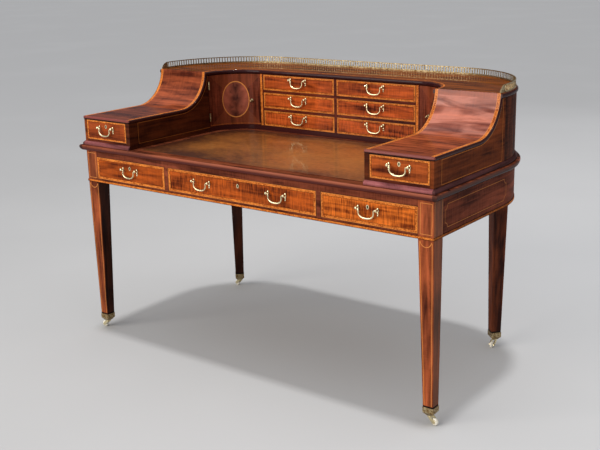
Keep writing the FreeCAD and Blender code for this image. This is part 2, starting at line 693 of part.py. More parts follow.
def upper_case():
    """The case's rounded back, the frame of the drawer bank, and the horseshoe deck on top."""
    wall_z = ("writing_height", DECK_BOTTOM)
    back_y = (f"{CASE_BACK} - case_wall", CASE_BACK)
    pieces = [board("case_back_board", (f"-{CORNER_X}", CORNER_X), back_y, wall_z)]
    for side, hand in SIDES:
        corner = (CORNER_X, CORNER_Y)
        pieces.append(sector(f"{hand}_case", side, corner, CASE_RADIUS, "case_wall", ("0", "90"), wall_z))
    node("case_back", pieces)

    bank_end = f"({BANK_HALF} + bank_end)"
    depth = (BANK_FRONT, back_y[0])
    upright_z = (PLINTH_TOP, DECK_BOTTOM)
    middle = "(bank_divider / 2)"
    frame = [
        board("bank_plinth", (f"-{bank_end}", bank_end), depth, ("writing_height", PLINTH_TOP)),
        board("bank_middle", (f"-{middle}", middle), depth, upright_z),
    ]
    for side, hand in SIDES:
        frame.append(board(f"{hand}_bank_end", sided(side, BANK_HALF, bank_end), depth, upright_z))
        for row in (1, 2):
            low = f"{PLINTH_TOP} + {row} * {ROW_HEIGHT} + {row - 1} * shelf"
            across = sided(side, middle, BANK_HALF)
            frame.append(board(f"{hand}_shelf_{row}", across, depth, (low, f"{low} + shelf")))
        arc_angles = ("jamb_angle", "(acos(stile_lap / arc_radius) / 1 deg)")
        plinth_z = ("writing_height", PLINTH_TOP)
        name, outer = f"{hand}_door_plinth", "(arc_radius + case_wall)"
        frame.append(sector(name, side, (ARC_X, ARC_Y), outer, "case_wall", arc_angles, plinth_z))
    node("bank_frame", frame)

    deck = new_body("deck_slab")
    x, back = f"({CASE_HALF} + deck_overhang)", f"({CASE_BACK} + deck_overhang)"
    radius = f"({CASE_RADIUS} + deck_overhang)"
    lip_x, lip_y, lip_radius = f"({WELL} - deck_lip)", f"({BANK_FRONT} - deck_lip)", "(arc_radius - deck_lip)"
    plan = [
        (lip_x, DECK_FRONT),
        (x, DECK_FRONT),
        (x, CORNER_Y),
        (CORNER_X, back, radius),
        (f"-{CORNER_X}", back),
        (f"-{x}", CORNER_Y, radius),
        (f"-{x}", DECK_FRONT),
        (f"-{lip_x}", DECK_FRONT),
        (f"-{lip_x}", ARC_Y),
        (f"-{ARC_X}", lip_y, f"-{lip_radius}"),
        (ARC_X, lip_y),
        (lip_x, ARC_Y, f"-{lip_radius}"),
    ]
    slab = pad(deck, sketch(deck, "deck_plan", "XY_Plane", plan, DECK_BOTTOM), "deck_thickness")
    front = value(DECK_FRONT) + 0.1

    def nosed(height):
        level = at_height(height)
        return lambda edge: level(edge) and edge.BoundBox.YMax > front

    softened = soften_edges(deck, slab, "Chamfer", "deck_edge", nosed(DECK_BOTTOM))
    soften_edges(deck, softened, "Chamfer", "deck_edge", nosed("deck_height"))
    over_lids = [
        (f"{DECK_FRONT} - deck_lip", DECK_BOTTOM),
        (f"{DECK_FRONT} + deck_lip", DECK_BOTTOM),
        (SWEEP_TOP, "deck_height", "sweep_radius"),
        (f"{DECK_FRONT} - deck_lip", "deck_height"),
    ]
    pocket(deck, sketch(deck, "deck_sweep", "YZ_Plane", over_lids), f"3 * {x}", "Symmetric")
    groove = sketch(deck, "gallery_groove_plan", "XY_Plane", groove_plan(), "deck_height")
    pocket(deck, groove, "gallery_groove")
    node("deck", [deck])


def groove_plan():
    """The groove under the gallery: narrow under its plain ends, wider under its foot rail."""
    front = f"{GALLERY_FRONT} - groove_gap"
    outline = {}
    for face, away in (("outer", "+"), ("inner", "-")):
        reach = f"({GALLERY_RADIUS} {away} (gallery_foot / 2 + groove_gap))"
        strip = f"({CORNER_X} + {GALLERY_RADIUS} {away} (gallery_strip / 2 + groove_gap))"
        radius = reach if face == "outer" else f"-{reach}"
        outline[face] = (strip, f"({CORNER_X} + {reach})", f"({CORNER_Y} + {reach})", radius)
    strip, x, back, radius = outline["outer"]
    plan = [
        (strip, front),
        (strip, CORNER_Y),
        (x, CORNER_Y),
        (CORNER_X, back, radius),
        (f"-{CORNER_X}", back),
        (f"-{x}", CORNER_Y, radius),
        (f"-{strip}", CORNER_Y),
        (f"-{strip}", front),
    ]
    strip, x, back, radius = outline["inner"]
    plan += [
        (f"-{strip}", front),
        (f"-{strip}", CORNER_Y),
        (f"-{x}", CORNER_Y),
        (f"-{CORNER_X}", back, radius),
        (CORNER_X, back),
        (x, CORNER_Y, radius),
        (strip, CORNER_Y),
        (strip, front),
    ]
    return plan


def repeat(body, feature, kind, guide, role, spacing, count):
    """A row of copies of a feature, along or about one of the body's own axes."""
    row = body.newObject(f"PartDesign::{kind}", f"{feature.Name}_row")
    row.Originals = [feature]
    setattr(row, guide, (axis_of(body, role), [""]))
    row.Mode = "Spacing"
    bind(row, "Offset", spacing)
    bind(row, "Occurrences", count)
    body.Tip = row


def gallery():
    """Brass gallery in short lengths: bars standing in a foot rail, with a top rail over them."""
    middle = GALLERY_RADIUS
    foot_top = "(deck_height + gallery_foot)"
    rail_bottom = "(deck_height + gallery_height - gallery_rail)"
    bar_height = f"{rail_bottom} - {foot_top}"
    bar_width = ("-picket_width / 2", "picket_width / 2")
    bar_depth = ("-gallery_strip / 2", "gallery_strip / 2")
    sweep = "(90 / gallery_sectors)"
    bend_count = f"round({middle} * pi * {sweep} / 180 / picket_pitch)"
    step = f"({sweep} / {bend_count})"
    length = f"(2 * {CORNER_X} / gallery_lengths)"
    straight_count = f"round({length} / picket_pitch)"
    pitch = f"({length} / {straight_count})"

    bends, straights = [], []
    foot = ("foot", "gallery_foot", GALLERY_BOTTOM, "gallery_foot + gallery_groove")
    rail = ("rail", "gallery_rail", rail_bottom, "gallery_rail")
    for name, size, low, height in (foot, rail):
        bend = new_body(f"bend_{name}")
        inner, outer = f"({middle} - {size} / 2)", f"({middle} + {size} / 2)"
        start, end = f"(-{step} / 2)", f"({sweep} - {step} / 2)"
        plan = [
            (f"{inner} * cos({start})", f"{inner} * sin({start})", f"-{inner}"),
            (f"{outer} * cos({start})", f"{outer} * sin({start})"),
            (f"{outer} * cos({end})", f"{outer} * sin({end})", outer),
            (f"{inner} * cos({end})", f"{inner} * sin({end})"),
        ]
        pad(bend, sketch(bend, f"bend_{name}_plan", "XY_Plane", plan, low), height)
        bends.append(bend)
        straight = new_body(f"straight_{name}")
        plan = rectangle((f"-{pitch} / 2", f"{length} - {pitch} / 2"), (f"-{size} / 2", f"{size} / 2"))
        pad(straight, sketch(straight, f"straight_{name}_plan", "XY_Plane", plan, low), height)
        straights.append(straight)
    plan = rectangle((f"{middle} + {bar_depth[0]}", f"{middle} + {bar_depth[1]}"), bar_width)
    bar = pad(bends[0], sketch(bends[0], "bend_bar", "XY_Plane", plan, foot_top), bar_height)
    repeat(bends[0], bar, "PolarPattern", "Axis", "Z_Axis", step, bend_count)
    plan = rectangle(bar_width, bar_depth)
    bar = pad(straights[0], sketch(straights[0], "straight_bar", "XY_Plane", plan, foot_top), bar_height)
    repeat(straights[0], bar, "LinearPattern", "Direction", "X_Axis", pitch, straight_count)

    pieces = []
    for side, hand in SIDES:
        for index in range(int(value("gallery_sectors"))):
            first = "0" if side > 0 else "90"
            turn = f"{first} + {index} * {sweep} + {step} / 2"
            for body in bends:
                name = f"{hand}_{body.Name}_{index}"
                pieces.append(copy(name, body, f"{side} * {CORNER_X}", CORNER_Y, "0", turn))
        pieces.append(gallery_end(hand, side))
    for index in range(int(value("gallery_lengths"))):
        x = f"-{CORNER_X} + {index} * {length} + {pitch} / 2"
        for body in straights:
            pieces.append(copy(f"{body.Name}_{index}", body, x, f"{CORNER_Y} + {middle}"))
    node("gallery", pieces)


def gallery_end(hand, side):
    """The plain end of the gallery, which curves down to the front edge of the deck."""
    body = new_body(f"{hand}_gallery_end")
    ramp = f"({CORNER_Y} - {GALLERY_FRONT})"
    rise = "(gallery_height - gallery_foot)"
    profile = [
        (GALLERY_FRONT, GALLERY_BOTTOM),
        (CORNER_Y, GALLERY_BOTTOM),
        (CORNER_Y, "deck_height + gallery_height"),
        (GALLERY_FRONT, "deck_height + gallery_foot", f"({ramp}^2 + {rise}^2) / (2 * {rise})"),
    ]
    face = f"({CORNER_X} + {GALLERY_RADIUS} - gallery_strip / 2)"
    low, high = sided(side, face, f"{face} + gallery_strip")
    pad(body, sketch(body, f"{hand}_end_profile", "YZ_Plane", profile, low), f"({high}) - ({low})")
    return body


def axis_of(body, role):
    return [feature for feature in body.Origin.OriginFeatures if feature.Role == role][0]


def drawer_boards(name, width, height, depth, front):
    """A drawer for an opening this wide and high: front, two sides, back and bottom.

    Its own origin is at the middle of the opening's lower front edge.
    """
    x = f"({width} / 2 - drawer_gap)"
    low, high = "slide_gap", f"({height} - drawer_gap)"
    side_high = f"({high} - side_drop)"
    bottom = ("slide_gap + bottom_lift", "slide_gap + bottom_lift + drawer_bottom")
    inside = (f"-{x} + drawer_side", f"{x} - drawer_side")
    pieces = [
        board(f"{name}_front", (f"-{x}", x), ("0", front), (low, high)),
        board(f"{name}_back", inside, (f"{depth} - drawer_side", depth), (bottom[1], side_high)),
        board(f"{name}_bottom", inside, (front, depth), bottom),
    ]
    for side, hand in SIDES:
        across = sided(side, f"{x} - drawer_side", x)
        pieces.append(board(f"{name}_{hand}_side", across, (front, depth), (low, side_high)))
    return group(name, pieces)


def handle_post():
    """One post of a handle on its drop-shaped plate, about its place on the drawer front."""
    plate = new_body("husk")
    upper, widest, lower = "0.45 * husk_above", "-0.1 * husk_below", "-0.55 * husk_below"
    outline = [
        ("0", "husk_above"),
        ("-0.35 * husk_width", upper),
        ("-0.5 * husk_width", widest),
        ("-0.3 * husk_width", lower),
        ("0", "-husk_below"),
        ("0.3 * husk_width", lower),
        ("0.5 * husk_width", widest),
        ("0.35 * husk_width", upper),
    ]
    pad(plate, sketch(plate, "husk_outline", "XZ_Plane", outline), "husk_thickness")
    post = new_body("post")
    eye = sketch(post, "eye_outline", "YZ_Plane", polygon("eye_radius", 6, "-post_reach"))
    pad(post, eye, "eye_width", "Symmetric")
    stem = sketch(post, "stem_outline", "XZ_Plane", polygon("stem_radius", 4), "husk_thickness")
    pad(post, stem, "post_reach - husk_thickness")
    hole = sketch(post, "eye_hole", "YZ_Plane", bore("bail_radius", 6, "-post_reach"))
    pocket(post, hole, "2 * eye_width", "Symmetric")
    return group("handle_post", [plate, post])


def bail():
    """A swan-neck bail: a pin in each post, two necks and a bow, about the middle of its axis."""
    body = new_body("bail")
    turns = [f"(bail_turn * {index} / 3)" for index in range(4)]
    half = [(f"bail_half * sin({turn})", f"-bail_drop + bail_bow * (1 - cos({turn}))") for turn in turns]
    neck, slope = "(1.6 * bail_radius)", "(tan(bail_turn) * bail_bow / bail_half)"
    half.append((f"{half[3][0]} + (-{neck} - ({half[3][1]})) / {slope}", f"-{neck}"))
    half.append(("post_spacing / 2 - eye_width / 2 - bail_radius * 3 / 4", "0"))
    half.append(("post_spacing / 2 - eye_width / 4", "0"))
    path = half[::-1] + [(f"-({x})", z) for x, z in half[1:]]
    line = sketch(body, "bail_path", "XZ_Plane", path, closed=False)
    section = sketch(body, "bail_section", "YZ_Plane", polygon("bail_radius", 6), half[-1][0])
    doc.recompute()
    pipe = body.newObject("PartDesign::AdditivePipe", "bail_pipe")
    pipe.Profile = section
    pipe.Spine = (line, [f"Edge{number}" for number in range(1, len(path))])
    pipe.Transition = "Right corner"
    return body


def scutcheon():
    """An oval keyhole plate, about the keyhole."""
    body = new_body("scutcheon")
    turns = [30 * index for index in range(12)]
    oval = [(f"scutcheon_width / 2 * cos({turn})", f"scutcheon_height / 2 * sin({turn})") for turn in turns]
    pad(body, sketch(body, "scutcheon_oval", "XZ_Plane", oval), "scutcheon_thickness")
    slot = rectangle(
        ("-scutcheon_width / 8", "scutcheon_width / 8"), ("-scutcheon_height / 4", "scutcheon_height / 4")
    )
    pocket(body, sketch(body, "keyhole", "XZ_Plane", slot), "4 * scutcheon_thickness", "Symmetric")
    return body


def drawers():
    """Every drawer in its opening with its handles, keyhole plates and locks."""
    post, hanging, keyhole = handle_post(), bail(), scutcheon()
    lock_x, lock_z = "lock_width / 2", "lock_height / 2"
    lock_y = ("drawer_front", "drawer_front + lock_thickness")
    lock = group("lock", [board("lock_case", (f"-{lock_x}", lock_x), lock_y, (f"-{lock_z}", lock_z))])

    frieze_height = f"({OPENING_TOP} - {OPENING_BOTTOM})"
    side_low, side_high = "(centre_opening / 2 + divider)", f"({HALF} - leg_width)"
    wing_low, wing_high = f"({WELL} + inner_wall)", f"({CASE_HALF} - outer_wall)"
    wing_z = "(writing_height + wing_floor)"
    wing_height = f"({LID_BOTTOM} - {wing_z})"
    bank_low = "(bank_divider / 2)"
    front, depth = "drawer_front", "frieze_drawer_depth"
    centre = drawer_boards("centre_boards", "centre_opening", frieze_height, depth, front)
    outer = drawer_boards("side_boards", f"({side_high} - {side_low})", frieze_height, depth, front)
    wing = drawer_boards("wing_boards", f"({wing_high} - {wing_low})", wing_height, WING_DRAWER, front)
    small_width = f"({BANK_HALF} - {bank_low})"
    small = drawer_boards("small_boards", small_width, ROW_HEIGHT, SMALL_DRAWER, "small_front")

    def fit(name, boards, x, y, z, height, rise, handles, locked):
        node(f"{name}_drawer", [copy(f"{name}_copy", boards, x, y, z)])
        axis_z = f"{z} + {height} / 2 + {rise}"
        brass = []
        for label, offset in handles:
            for side, hand in SIDES:
                post_x = f"{x} + {offset} + {side} * post_spacing / 2"
                brass.append(copy(f"{name}{label}_{hand}_post", post, post_x, y, axis_z))
            bail_x, bail_y = f"{x} + {offset}", f"{y} - post_reach"
            node(f"{name}{label}_bail", [copy(f"{name}{label}_hanging", hanging, bail_x, bail_y, axis_z)])
        if locked:
            key_z = f"{axis_z} + keyhole_rise"
            brass.append(copy(f"{name}_scutcheon", keyhole, x, y, key_z))
            brass.append(copy(f"{name}_lock", lock, x, y, key_z))
        node(f"{name}_handle_posts", brass)

    single = [("", "0")]
    pair = [("_left", "-centre_handle_offset"), ("_right", "centre_handle_offset")]
    fit("centre", centre, "0", FRONT, OPENING_BOTTOM, frieze_height, "frieze_handle_rise", pair, True)
    for side, hand in SIDES:
        x = f"{side} * ({side_low} + {side_high}) / 2"
        fit(f"{hand}_side", outer, x, FRONT, OPENING_BOTTOM, frieze_height, "frieze_handle_rise", single, True)
        x = f"{side} * ({wing_low} + {wing_high}) / 2"
        fit(f"{hand}_wing", wing, x, FRONT, wing_z, wing_height, "wing_handle_rise", single, True)
        x = f"{side} * ({bank_low} + {BANK_HALF}) / 2"
        for row, level in enumerate(("lower", "middle", "upper")):
            z = f"({PLINTH_TOP} + {row} * ({ROW_HEIGHT} + shelf))"
            name = f"{hand}_{level}"
            fit(name, small, x, BANK_FRONT, z, ROW_HEIGHT, "small_handle_rise", single, False)


def doors():
    """Concave cupboard doors on butt hinges, with a turned knob near the closing edge."""
    gap = "(door_gap / arc_radius * 180 / pi)"
    start = f"(jamb_angle + {gap})"
    end = "(acos(stile_lap / arc_radius) / 1 deg - door_clearance / arc_radius * 180 / pi)"
    door_z = (f"({PLINTH_TOP} + door_clearance)", f"({DECK_BOTTOM} - door_clearance)")
    knob = new_body("knob")
    sections = [
        ("knob_stem", "0"),
        ("knob_stem", "knob_reach - 1.6 * knob_radius"),
        ("knob_radius", "knob_reach - 0.8 * knob_radius"),
        ("0.6 * knob_radius", "knob_reach"),
    ]
    outlines = [
        sketch(knob, f"knob_{index}", "XZ_Plane", polygon(radius, 10), offset)
        for index, (radius, offset) in enumerate(sections)
    ]
    loft(knob, outlines)
    pin_angle, pin_reach = f"(jamb_angle + {gap} / 2)", "(arc_radius - hinge_setback)"
    pin_y = f"{ARC_Y} + {pin_reach} * sin({pin_angle})"
    knob_angle = "(90 - knob_angle)"
    knob_y = f"{ARC_Y} + arc_radius * sin({knob_angle})"
    knob_z = f"({door_z[0]} + {door_z[1]}) / 2 - knob_drop"
    centre, outer = (ARC_X, ARC_Y), "(arc_radius + door_thickness)"
    fixed = []
    for side, hand in SIDES:
        panel = sector(f"{hand}_panel", side, centre, outer, "door_thickness", (start, end), door_z)
        node(f"{hand}_door", [panel])
        knob_x = f"{side} * ({ARC_X} + arc_radius * cos({knob_angle}))"
        turn = f"{-side} * knob_angle"
        moving = [copy(f"{hand}_knob", knob, knob_x, knob_y, knob_z, turn)]
        pin_x = f"{side} * ({ARC_X} + {pin_reach} * cos({pin_angle}))"
        edge_turn = start if side > 0 else f"180 - {start}"
        fixed_leaf, moving_leaf = hinge_leaves(hand, side, pin_reach, gap)
        for low in (f"{door_z[0]} + hinge_inset", f"{door_z[1]} - hinge_inset - hinge_height"):
            fixed.append(copy(f"{hand}_fixed_leaf_{len(fixed)}", fixed_leaf, pin_x, pin_y, low))
            moving.append(copy(f"{hand}_leaf_{len(fixed)}", moving_leaf, pin_x, pin_y, low, edge_turn))
        node(f"{hand}_door_fittings", moving)
    node("door_hinges", fixed)


def hinge_leaves(hand, side, pin_reach, gap):
    """The two halves of a butt hinge, about the pin: one on the jamb with the pin, one on the door's edge."""
    half = "(hinge_height / 2)"
    fixed = new_body(f"{hand}_jamb_leaf")
    pad(fixed, sketch(fixed, f"{hand}_knuckle", "XY_Plane", polygon("hinge_radius", 8)), half)
    pad(fixed, sketch(fixed, f"{hand}_pin", "XY_Plane", polygon("hinge_pin", 8)), "hinge_height")
    jamb = f"(arc_radius * sin(jamb_angle) - {pin_reach} * sin(jamb_angle + {gap} / 2))"
    across = sided(side, "hinge_pin", "hinge_setback + leaf_width")
    plate = rectangle(across, (jamb, f"{jamb} + leaf"))
    pad(fixed, sketch(fixed, f"{hand}_jamb_plate", "XY_Plane", plate), half)
    moving = new_body(f"{hand}_door_leaf")
    start, height = f"{half} + slide_gap", f"{half} - slide_gap"
    pad(moving, sketch(moving, f"{hand}_door_knuckle", "XY_Plane", polygon("hinge_radius", 8), start), height)
    face = f"{pin_reach} * sin({gap} / 2)"
    across = ("hinge_pin + running_fit", "hinge_setback + leaf_width")
    plate = rectangle(across, sided(side, f"{face} - leaf", face))
    pad(moving, sketch(moving, f"{hand}_door_plate", "XY_Plane", plate, start), height)
    hole = sketch(moving, f"{hand}_bore", "XY_Plane", bore("hinge_pin", 8), half)
    pocket(moving, hole, "hinge_height", backwards=True)
    return fixed, moving


def check_and_write():
    """Stop at any failed object or bad shape, then write one file for each sub-part."""
    doc.recompute()
    failed = [item.Label for item in doc.Objects if {"Invalid", "Error"} & set(item.State)]
    bad = [item.Label for item in nodes if item.Shape.isNull() or not item.Shape.isValid()]
    if failed or bad:
        raise RuntimeError(f"failed objects {failed}, bad shapes {bad}")
    os.makedirs("parts", exist_ok=True)
    for item in nodes:
        item.Shape.exportStep(f"parts/{item.Label}.step")
    print(len(nodes), "sub-parts,", sum(len(item.Shape.Solids) for item in nodes), "solids")


legs_and_caps()
casters()
frieze()
runners()
table_top()
base_moulding()
wings()
upper_case()
gallery()
drawers()
doors()
check_and_write()
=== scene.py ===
# %% [markdown]
# # A writing desk with a horseshoe of drawers
# The desk is mahogany with light inlay, a leather writing surface and bright brass. The CAD model
# already has every board, hinge and wheel in its place. This lesson gives the boards their veneer,
# inlay and polish, and models the handles and wheels anew, because they need softer shapes than
# the CAD model has.

# %% Load the CAD model
import json
import math

import bpy
from mathutils import Matrix, Vector

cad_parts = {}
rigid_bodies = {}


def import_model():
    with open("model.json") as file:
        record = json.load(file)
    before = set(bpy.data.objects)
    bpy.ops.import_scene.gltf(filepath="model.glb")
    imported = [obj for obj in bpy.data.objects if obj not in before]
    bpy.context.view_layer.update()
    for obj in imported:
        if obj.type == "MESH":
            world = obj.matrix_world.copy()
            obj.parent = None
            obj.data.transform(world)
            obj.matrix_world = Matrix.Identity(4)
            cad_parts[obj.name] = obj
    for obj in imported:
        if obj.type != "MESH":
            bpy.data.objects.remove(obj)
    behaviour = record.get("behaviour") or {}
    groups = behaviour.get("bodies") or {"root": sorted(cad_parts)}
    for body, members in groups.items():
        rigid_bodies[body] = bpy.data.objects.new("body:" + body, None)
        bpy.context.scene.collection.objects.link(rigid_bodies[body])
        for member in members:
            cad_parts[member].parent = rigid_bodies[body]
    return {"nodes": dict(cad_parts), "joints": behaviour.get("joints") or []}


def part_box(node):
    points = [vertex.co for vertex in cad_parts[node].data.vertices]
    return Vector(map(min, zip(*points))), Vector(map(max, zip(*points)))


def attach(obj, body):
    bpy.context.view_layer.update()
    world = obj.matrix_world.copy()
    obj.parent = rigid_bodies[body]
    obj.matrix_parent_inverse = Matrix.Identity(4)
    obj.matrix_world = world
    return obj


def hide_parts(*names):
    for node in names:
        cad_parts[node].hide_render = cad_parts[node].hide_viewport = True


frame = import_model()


def shown(values, digits=4):
    """Numbers short enough to print."""
    return [round(value, digits) for value in values]


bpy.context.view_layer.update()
nodes = frame["nodes"]
joints = {joint["name"]: joint for joint in frame["joints"]}

# %% [markdown]
# ## Drawing with numbers
# Inlay is a drawing on the wood: a line so far from an edge, an oval on a door. A shader draws it
# with arithmetic on the place of each point. Long chains of Math nodes are hard to read, so a
# small class lets them be written as sums: each sum still becomes one Math node.

# %% Nodes, and sums that become nodes
def feed(tree, value, socket):
    """Links a value into a socket, or writes it there if it is a plain number or colour."""
    value = getattr(value, "socket", value)
    if isinstance(value, bpy.types.NodeSocket):
        tree.links.new(value, socket)
    else:
        socket.default_value = value


def add(tree, kind, inputs=None, **settings):
    node = tree.nodes.new(kind)
    for name, value in settings.items():
        setattr(node, name, value)
    for name, value in (inputs or {}).items():
        feed(tree, value, node.inputs[name])
    return node


class Field:
    """A number that changes over the surface."""

    def __init__(self, tree, socket):
        self.tree, self.socket = tree, socket

    def step(self, operation, *others, first=None):
        node = add(self.tree, "ShaderNodeMath", operation=operation)
        for slot, value in zip(node.inputs, (self if first is None else first, *others)):
            feed(self.tree, value, slot)
        return Field(self.tree, node.outputs[0])

    def __add__(self, other):
        return self.step("ADD", other)

    def __sub__(self, other):
        return self.step("SUBTRACT", other)

    def __rsub__(self, other):
        return self.step("SUBTRACT", self, first=other)

    def __mul__(self, other):
        return self.step("MULTIPLY", other)

    def __abs__(self):
        return self.step("ABSOLUTE")

    def over(self, limit):
        return self.step("GREATER_THAN", limit)

    def under(self, limit):
        return self.step("LESS_THAN", limit)

    def least(self, other):
        return self.step("MINIMUM", other)

    def most(self, other):
        return self.step("MAXIMUM", other)

    def length(self, other):
        return (self * self + other * other).step("SQRT")

    def held(self):
        """Kept between 0 and 1."""
        return self.least(1.0).most(0.0)


print("sums on a Field become", bpy.types.ShaderNodeMath.bl_rna.name, "nodes")

# %% [markdown]
# ## Mahogany
# The veneer has long streaks along the grain, dark clouds, a silky ripple across the grain where
# the tree grew in waves, and fine pores. Each of these is a noise texture stretched differently,
# and together they choose a place between a dark and a light red-brown. A picture of veneer could
# be laid on instead, but it would stretch and repeat. All the boards use one group, so the desk
# looks cut from one log.

# %% Mixing, soft noise and colours
MIX_INPUTS, MIX_OUTPUT = (0, 6, 7), 2  # where a Mix node keeps its sockets for colours


def mix(tree, factor, under, over):
    node = add(tree, "ShaderNodeMix", data_type="RGBA")
    for number, value in zip(MIX_INPUTS, (factor, under, over)):
        feed(tree, value, node.inputs[number])
    return node.outputs[MIX_OUTPUT]


def noise(tree, vector, stretch, detail=3.0, distortion=0.0):
    """Soft random values. stretch is about how many times a metre they change along each axis."""
    scaled = add(tree, "ShaderNodeMapping", {"Vector": vector, "Scale": stretch}).outputs[0]
    settings = {"Vector": scaled, "Scale": 1.0, "Detail": detail, "Distortion": distortion}
    return Field(tree, add(tree, "ShaderNodeTexNoise", settings).outputs[0])


def colour(red, green, blue):
    """A colour as a paint program shows it, as the light values that Blender reckons with."""
    parts = [v / 255 for v in (red, green, blue)]
    return (*[v / 12.92 if v <= 0.04045 else ((v + 0.055) / 1.055) ** 2.4 for v in parts], 1.0)


print("a screen grey of 128 is a light value of", round(colour(128, 128, 128)[0], 3))

# %% Groups of nodes, made once and used often
def start_group(name, inputs, outputs):
    group = bpy.data.node_groups.new(name, "ShaderNodeTree")
    for direction, sockets in (("INPUT", inputs), ("OUTPUT", outputs)):
        for label, kind in sockets.items():
            group.interface.new_socket(label, in_out=direction, socket_type=f"NodeSocket{kind}")
    return group, add(group, "NodeGroupInput").outputs, add(group, "NodeGroupOutput").inputs


def use(tree, group, **inputs):
    node = add(tree, "ShaderNodeGroup", node_tree=group)
    for name, value in inputs.items():
        feed(tree, value, node.inputs[name.replace("_", " ")])
    return node.outputs


print("groups can be started and used")

# %% Figured mahogany
mahogany, given, made = start_group(
    "Figured mahogany",
    {"Vector": "Vector", "Ripple": "Float", "Dark": "Color", "Light": "Color"},
    {"Color": "Color", "Roughness": "Float", "Height": "Float"},
)
clouds = noise(mahogany, given["Vector"], (4, 14, 14), 3, 1.2)
streaks = noise(mahogany, given["Vector"], (5, 70, 70), 6, 0.6)
ripples = noise(mahogany, given["Vector"], (260, 18, 18), 2, 1.0)
patches = noise(mahogany, given["Vector"], (8, 8, 8), 2)
pores = noise(mahogany, given["Vector"], (45, 900, 900), 2)
strength = Field(mahogany, given["Ripple"]) * patches
tone = (streaks - 0.5) * 1.9 + (clouds - 0.5) * 1.9 + (ripples - 0.5) * strength * 4.2 + 0.5
open_pores = ((pores - 0.56) * 7.0).held()
veneer = mix(mahogany, tone.held(), given["Dark"], given["Light"])
feed(mahogany, mix(mahogany, open_pores * 0.4, veneer, colour(34, 11, 6)), made["Color"])
feed(mahogany, clouds * 0.10 + open_pores * 0.12 + 0.22, made["Roughness"])
feed(mahogany, streaks * 0.3 - open_pores, made["Height"])
print(mahogany.name, len(mahogany.nodes), "nodes")

# %% [markdown]
# ## Inlay
# Three kinds of inlay run through the whole desk: a banding of orange wood cut across the grain,
# thin boxwood strings, and thin dark strings. They lie flush in the wood, so they are drawn in the
# material and not modelled as strips. A group measures how far a point lies inside a rectangle,
# and a second group turns a distance into a line. The corners of the rectangle can be scooped out,
# as on the sides of the frieze.

# %% Banding, distance to a panel's edge, and a line
banding, given, made = start_group("Banding", {"Vector": "Vector"}, {"Color": "Color"})
ticks = noise(banding, given["Vector"], (300, 300, 300), 2, 0.4)
drift = noise(banding, given["Vector"], (35, 35, 35), 2)
shade = ((ticks - 0.5) * 3.0 + (drift - 0.5) * 1.6 + 0.55).held()
feed(banding, mix(banding, shade, colour(142, 58, 16), colour(236, 138, 58)), made["Color"])

inside, given, made = start_group(
    "Inside a panel",
    {name: "Float" for name in ("Across", "Up", "Half across", "Half up", "Scoop")},
    {"Distance": "Float"},
)
side_room = Field(inside, given["Half across"]) - abs(Field(inside, given["Across"]))
end_room = Field(inside, given["Half up"]) - abs(Field(inside, given["Up"]))
corner_room = side_room.most(0.0).length(end_room.most(0.0)) - given["Scoop"]
feed(inside, side_room.least(end_room).least(corner_room), made["Distance"])

line, given, made = start_group(
    "Inlaid line", {"Distance": "Float", "Start": "Float", "Width": "Float"}, {"Mask": "Float"}
)
into = Field(line, given["Distance"]) - given["Start"]
feed(line, into.over(0.0) * into.under(given["Width"]), made["Mask"])

BOXWOOD = colour(226, 144, 74)
DARK_STRING = colour(34, 12, 7)
print("inlay groups:", banding.name, "|", inside.name, "|", line.name)

# %% [markdown]
# ## Polish
# The wood is finished with many thin coats of shellac, so the light comes back from two layers:
# the wood itself and a clear coat over it. One function builds such a material. It takes the
# direction of the grain and a list of inlays, and lays each inlay over the veneer with its mask.
# On some pieces the list also holds painted shade, painted highlights and painted reflections.
# Grain that goes "round" follows a wall past its corners, because x + y grows along the front and
# along the side alike.

# %% A new material, the place of a point, and a relief
finishes = {}
RELIEF_STRENGTH, RELIEF_DEPTH = 0.35, 0.0003


def new_finish(name, **constants):
    """Starts a material with its plain values. Gives its tree, shader and object coordinates."""
    material = bpy.data.materials.new(name)
    material.use_nodes = True
    tree = material.node_tree
    shader = tree.nodes["Principled BSDF"]
    for socket, value in constants.items():
        shader.inputs[socket.replace("_", " ")].default_value = value
    finishes[name] = material
    return tree, shader, add(tree, "ShaderNodeTexCoord").outputs["Object"]


def parts(tree, place):
    split = add(tree, "ShaderNodeSeparateXYZ", {"Vector": place})
    return [Field(tree, socket) for socket in split.outputs]


def point(tree, x, y, z):
    return add(tree, "ShaderNodeCombineXYZ", {"X": x, "Y": y, "Z": z}).outputs[0]


def bump(tree, shader, height):
    settings = {"Height": height, "Strength": RELIEF_STRENGTH, "Distance": RELIEF_DEPTH}
    feed(tree, add(tree, "ShaderNodeBump", settings).outputs[0], shader.inputs["Normal"])


print("materials can be started")

# %% A polished wood material
TURNS = {"X": (0, 0, 0), "Z": (0, math.pi / 2, 0)}
GLOSS, DULL_GLOSS, BLUR = 0.15, 0.1, 0.06


def polished(name, along, inlays, ripple, dark, light, gloss=GLOSS, blur=BLUR):
    """Veneered wood under polish. inlays(tree, x, y, z) lists (mask, colour), the last on top; on
    some pieces they include painted shade, painted highlights and painted reflections.
    """
    tree, shader, place = new_finish(
        name, Coat_Weight=gloss, Coat_Roughness=blur, Specular_IOR_Level=0.0
    )
    x, y, z = parts(tree, place)
    if along == "round":
        grain = point(tree, x + y, 0.0, z)
    else:
        turned = {"Vector": place, "Rotation": TURNS[along]}
        grain = add(tree, "ShaderNodeMapping", turned).outputs[0]
    tones = {"Dark": colour(*dark), "Light": colour(*light)}
    wood = use(tree, mahogany, Vector=grain, Ripple=ripple, **tones)
    paint = wood["Color"]
    for mask, over in inlays(tree, x, y, z) if inlays else ():
        if over == "banding":
            over = use(tree, banding, Vector=place)["Color"]
        paint = mix(tree, mask, paint, over)
    feed(tree, paint, shader.inputs["Base Color"])
    feed(tree, wood["Roughness"], shader.inputs["Roughness"])
    bump(tree, shader, wood["Height"])
    return finishes[name]


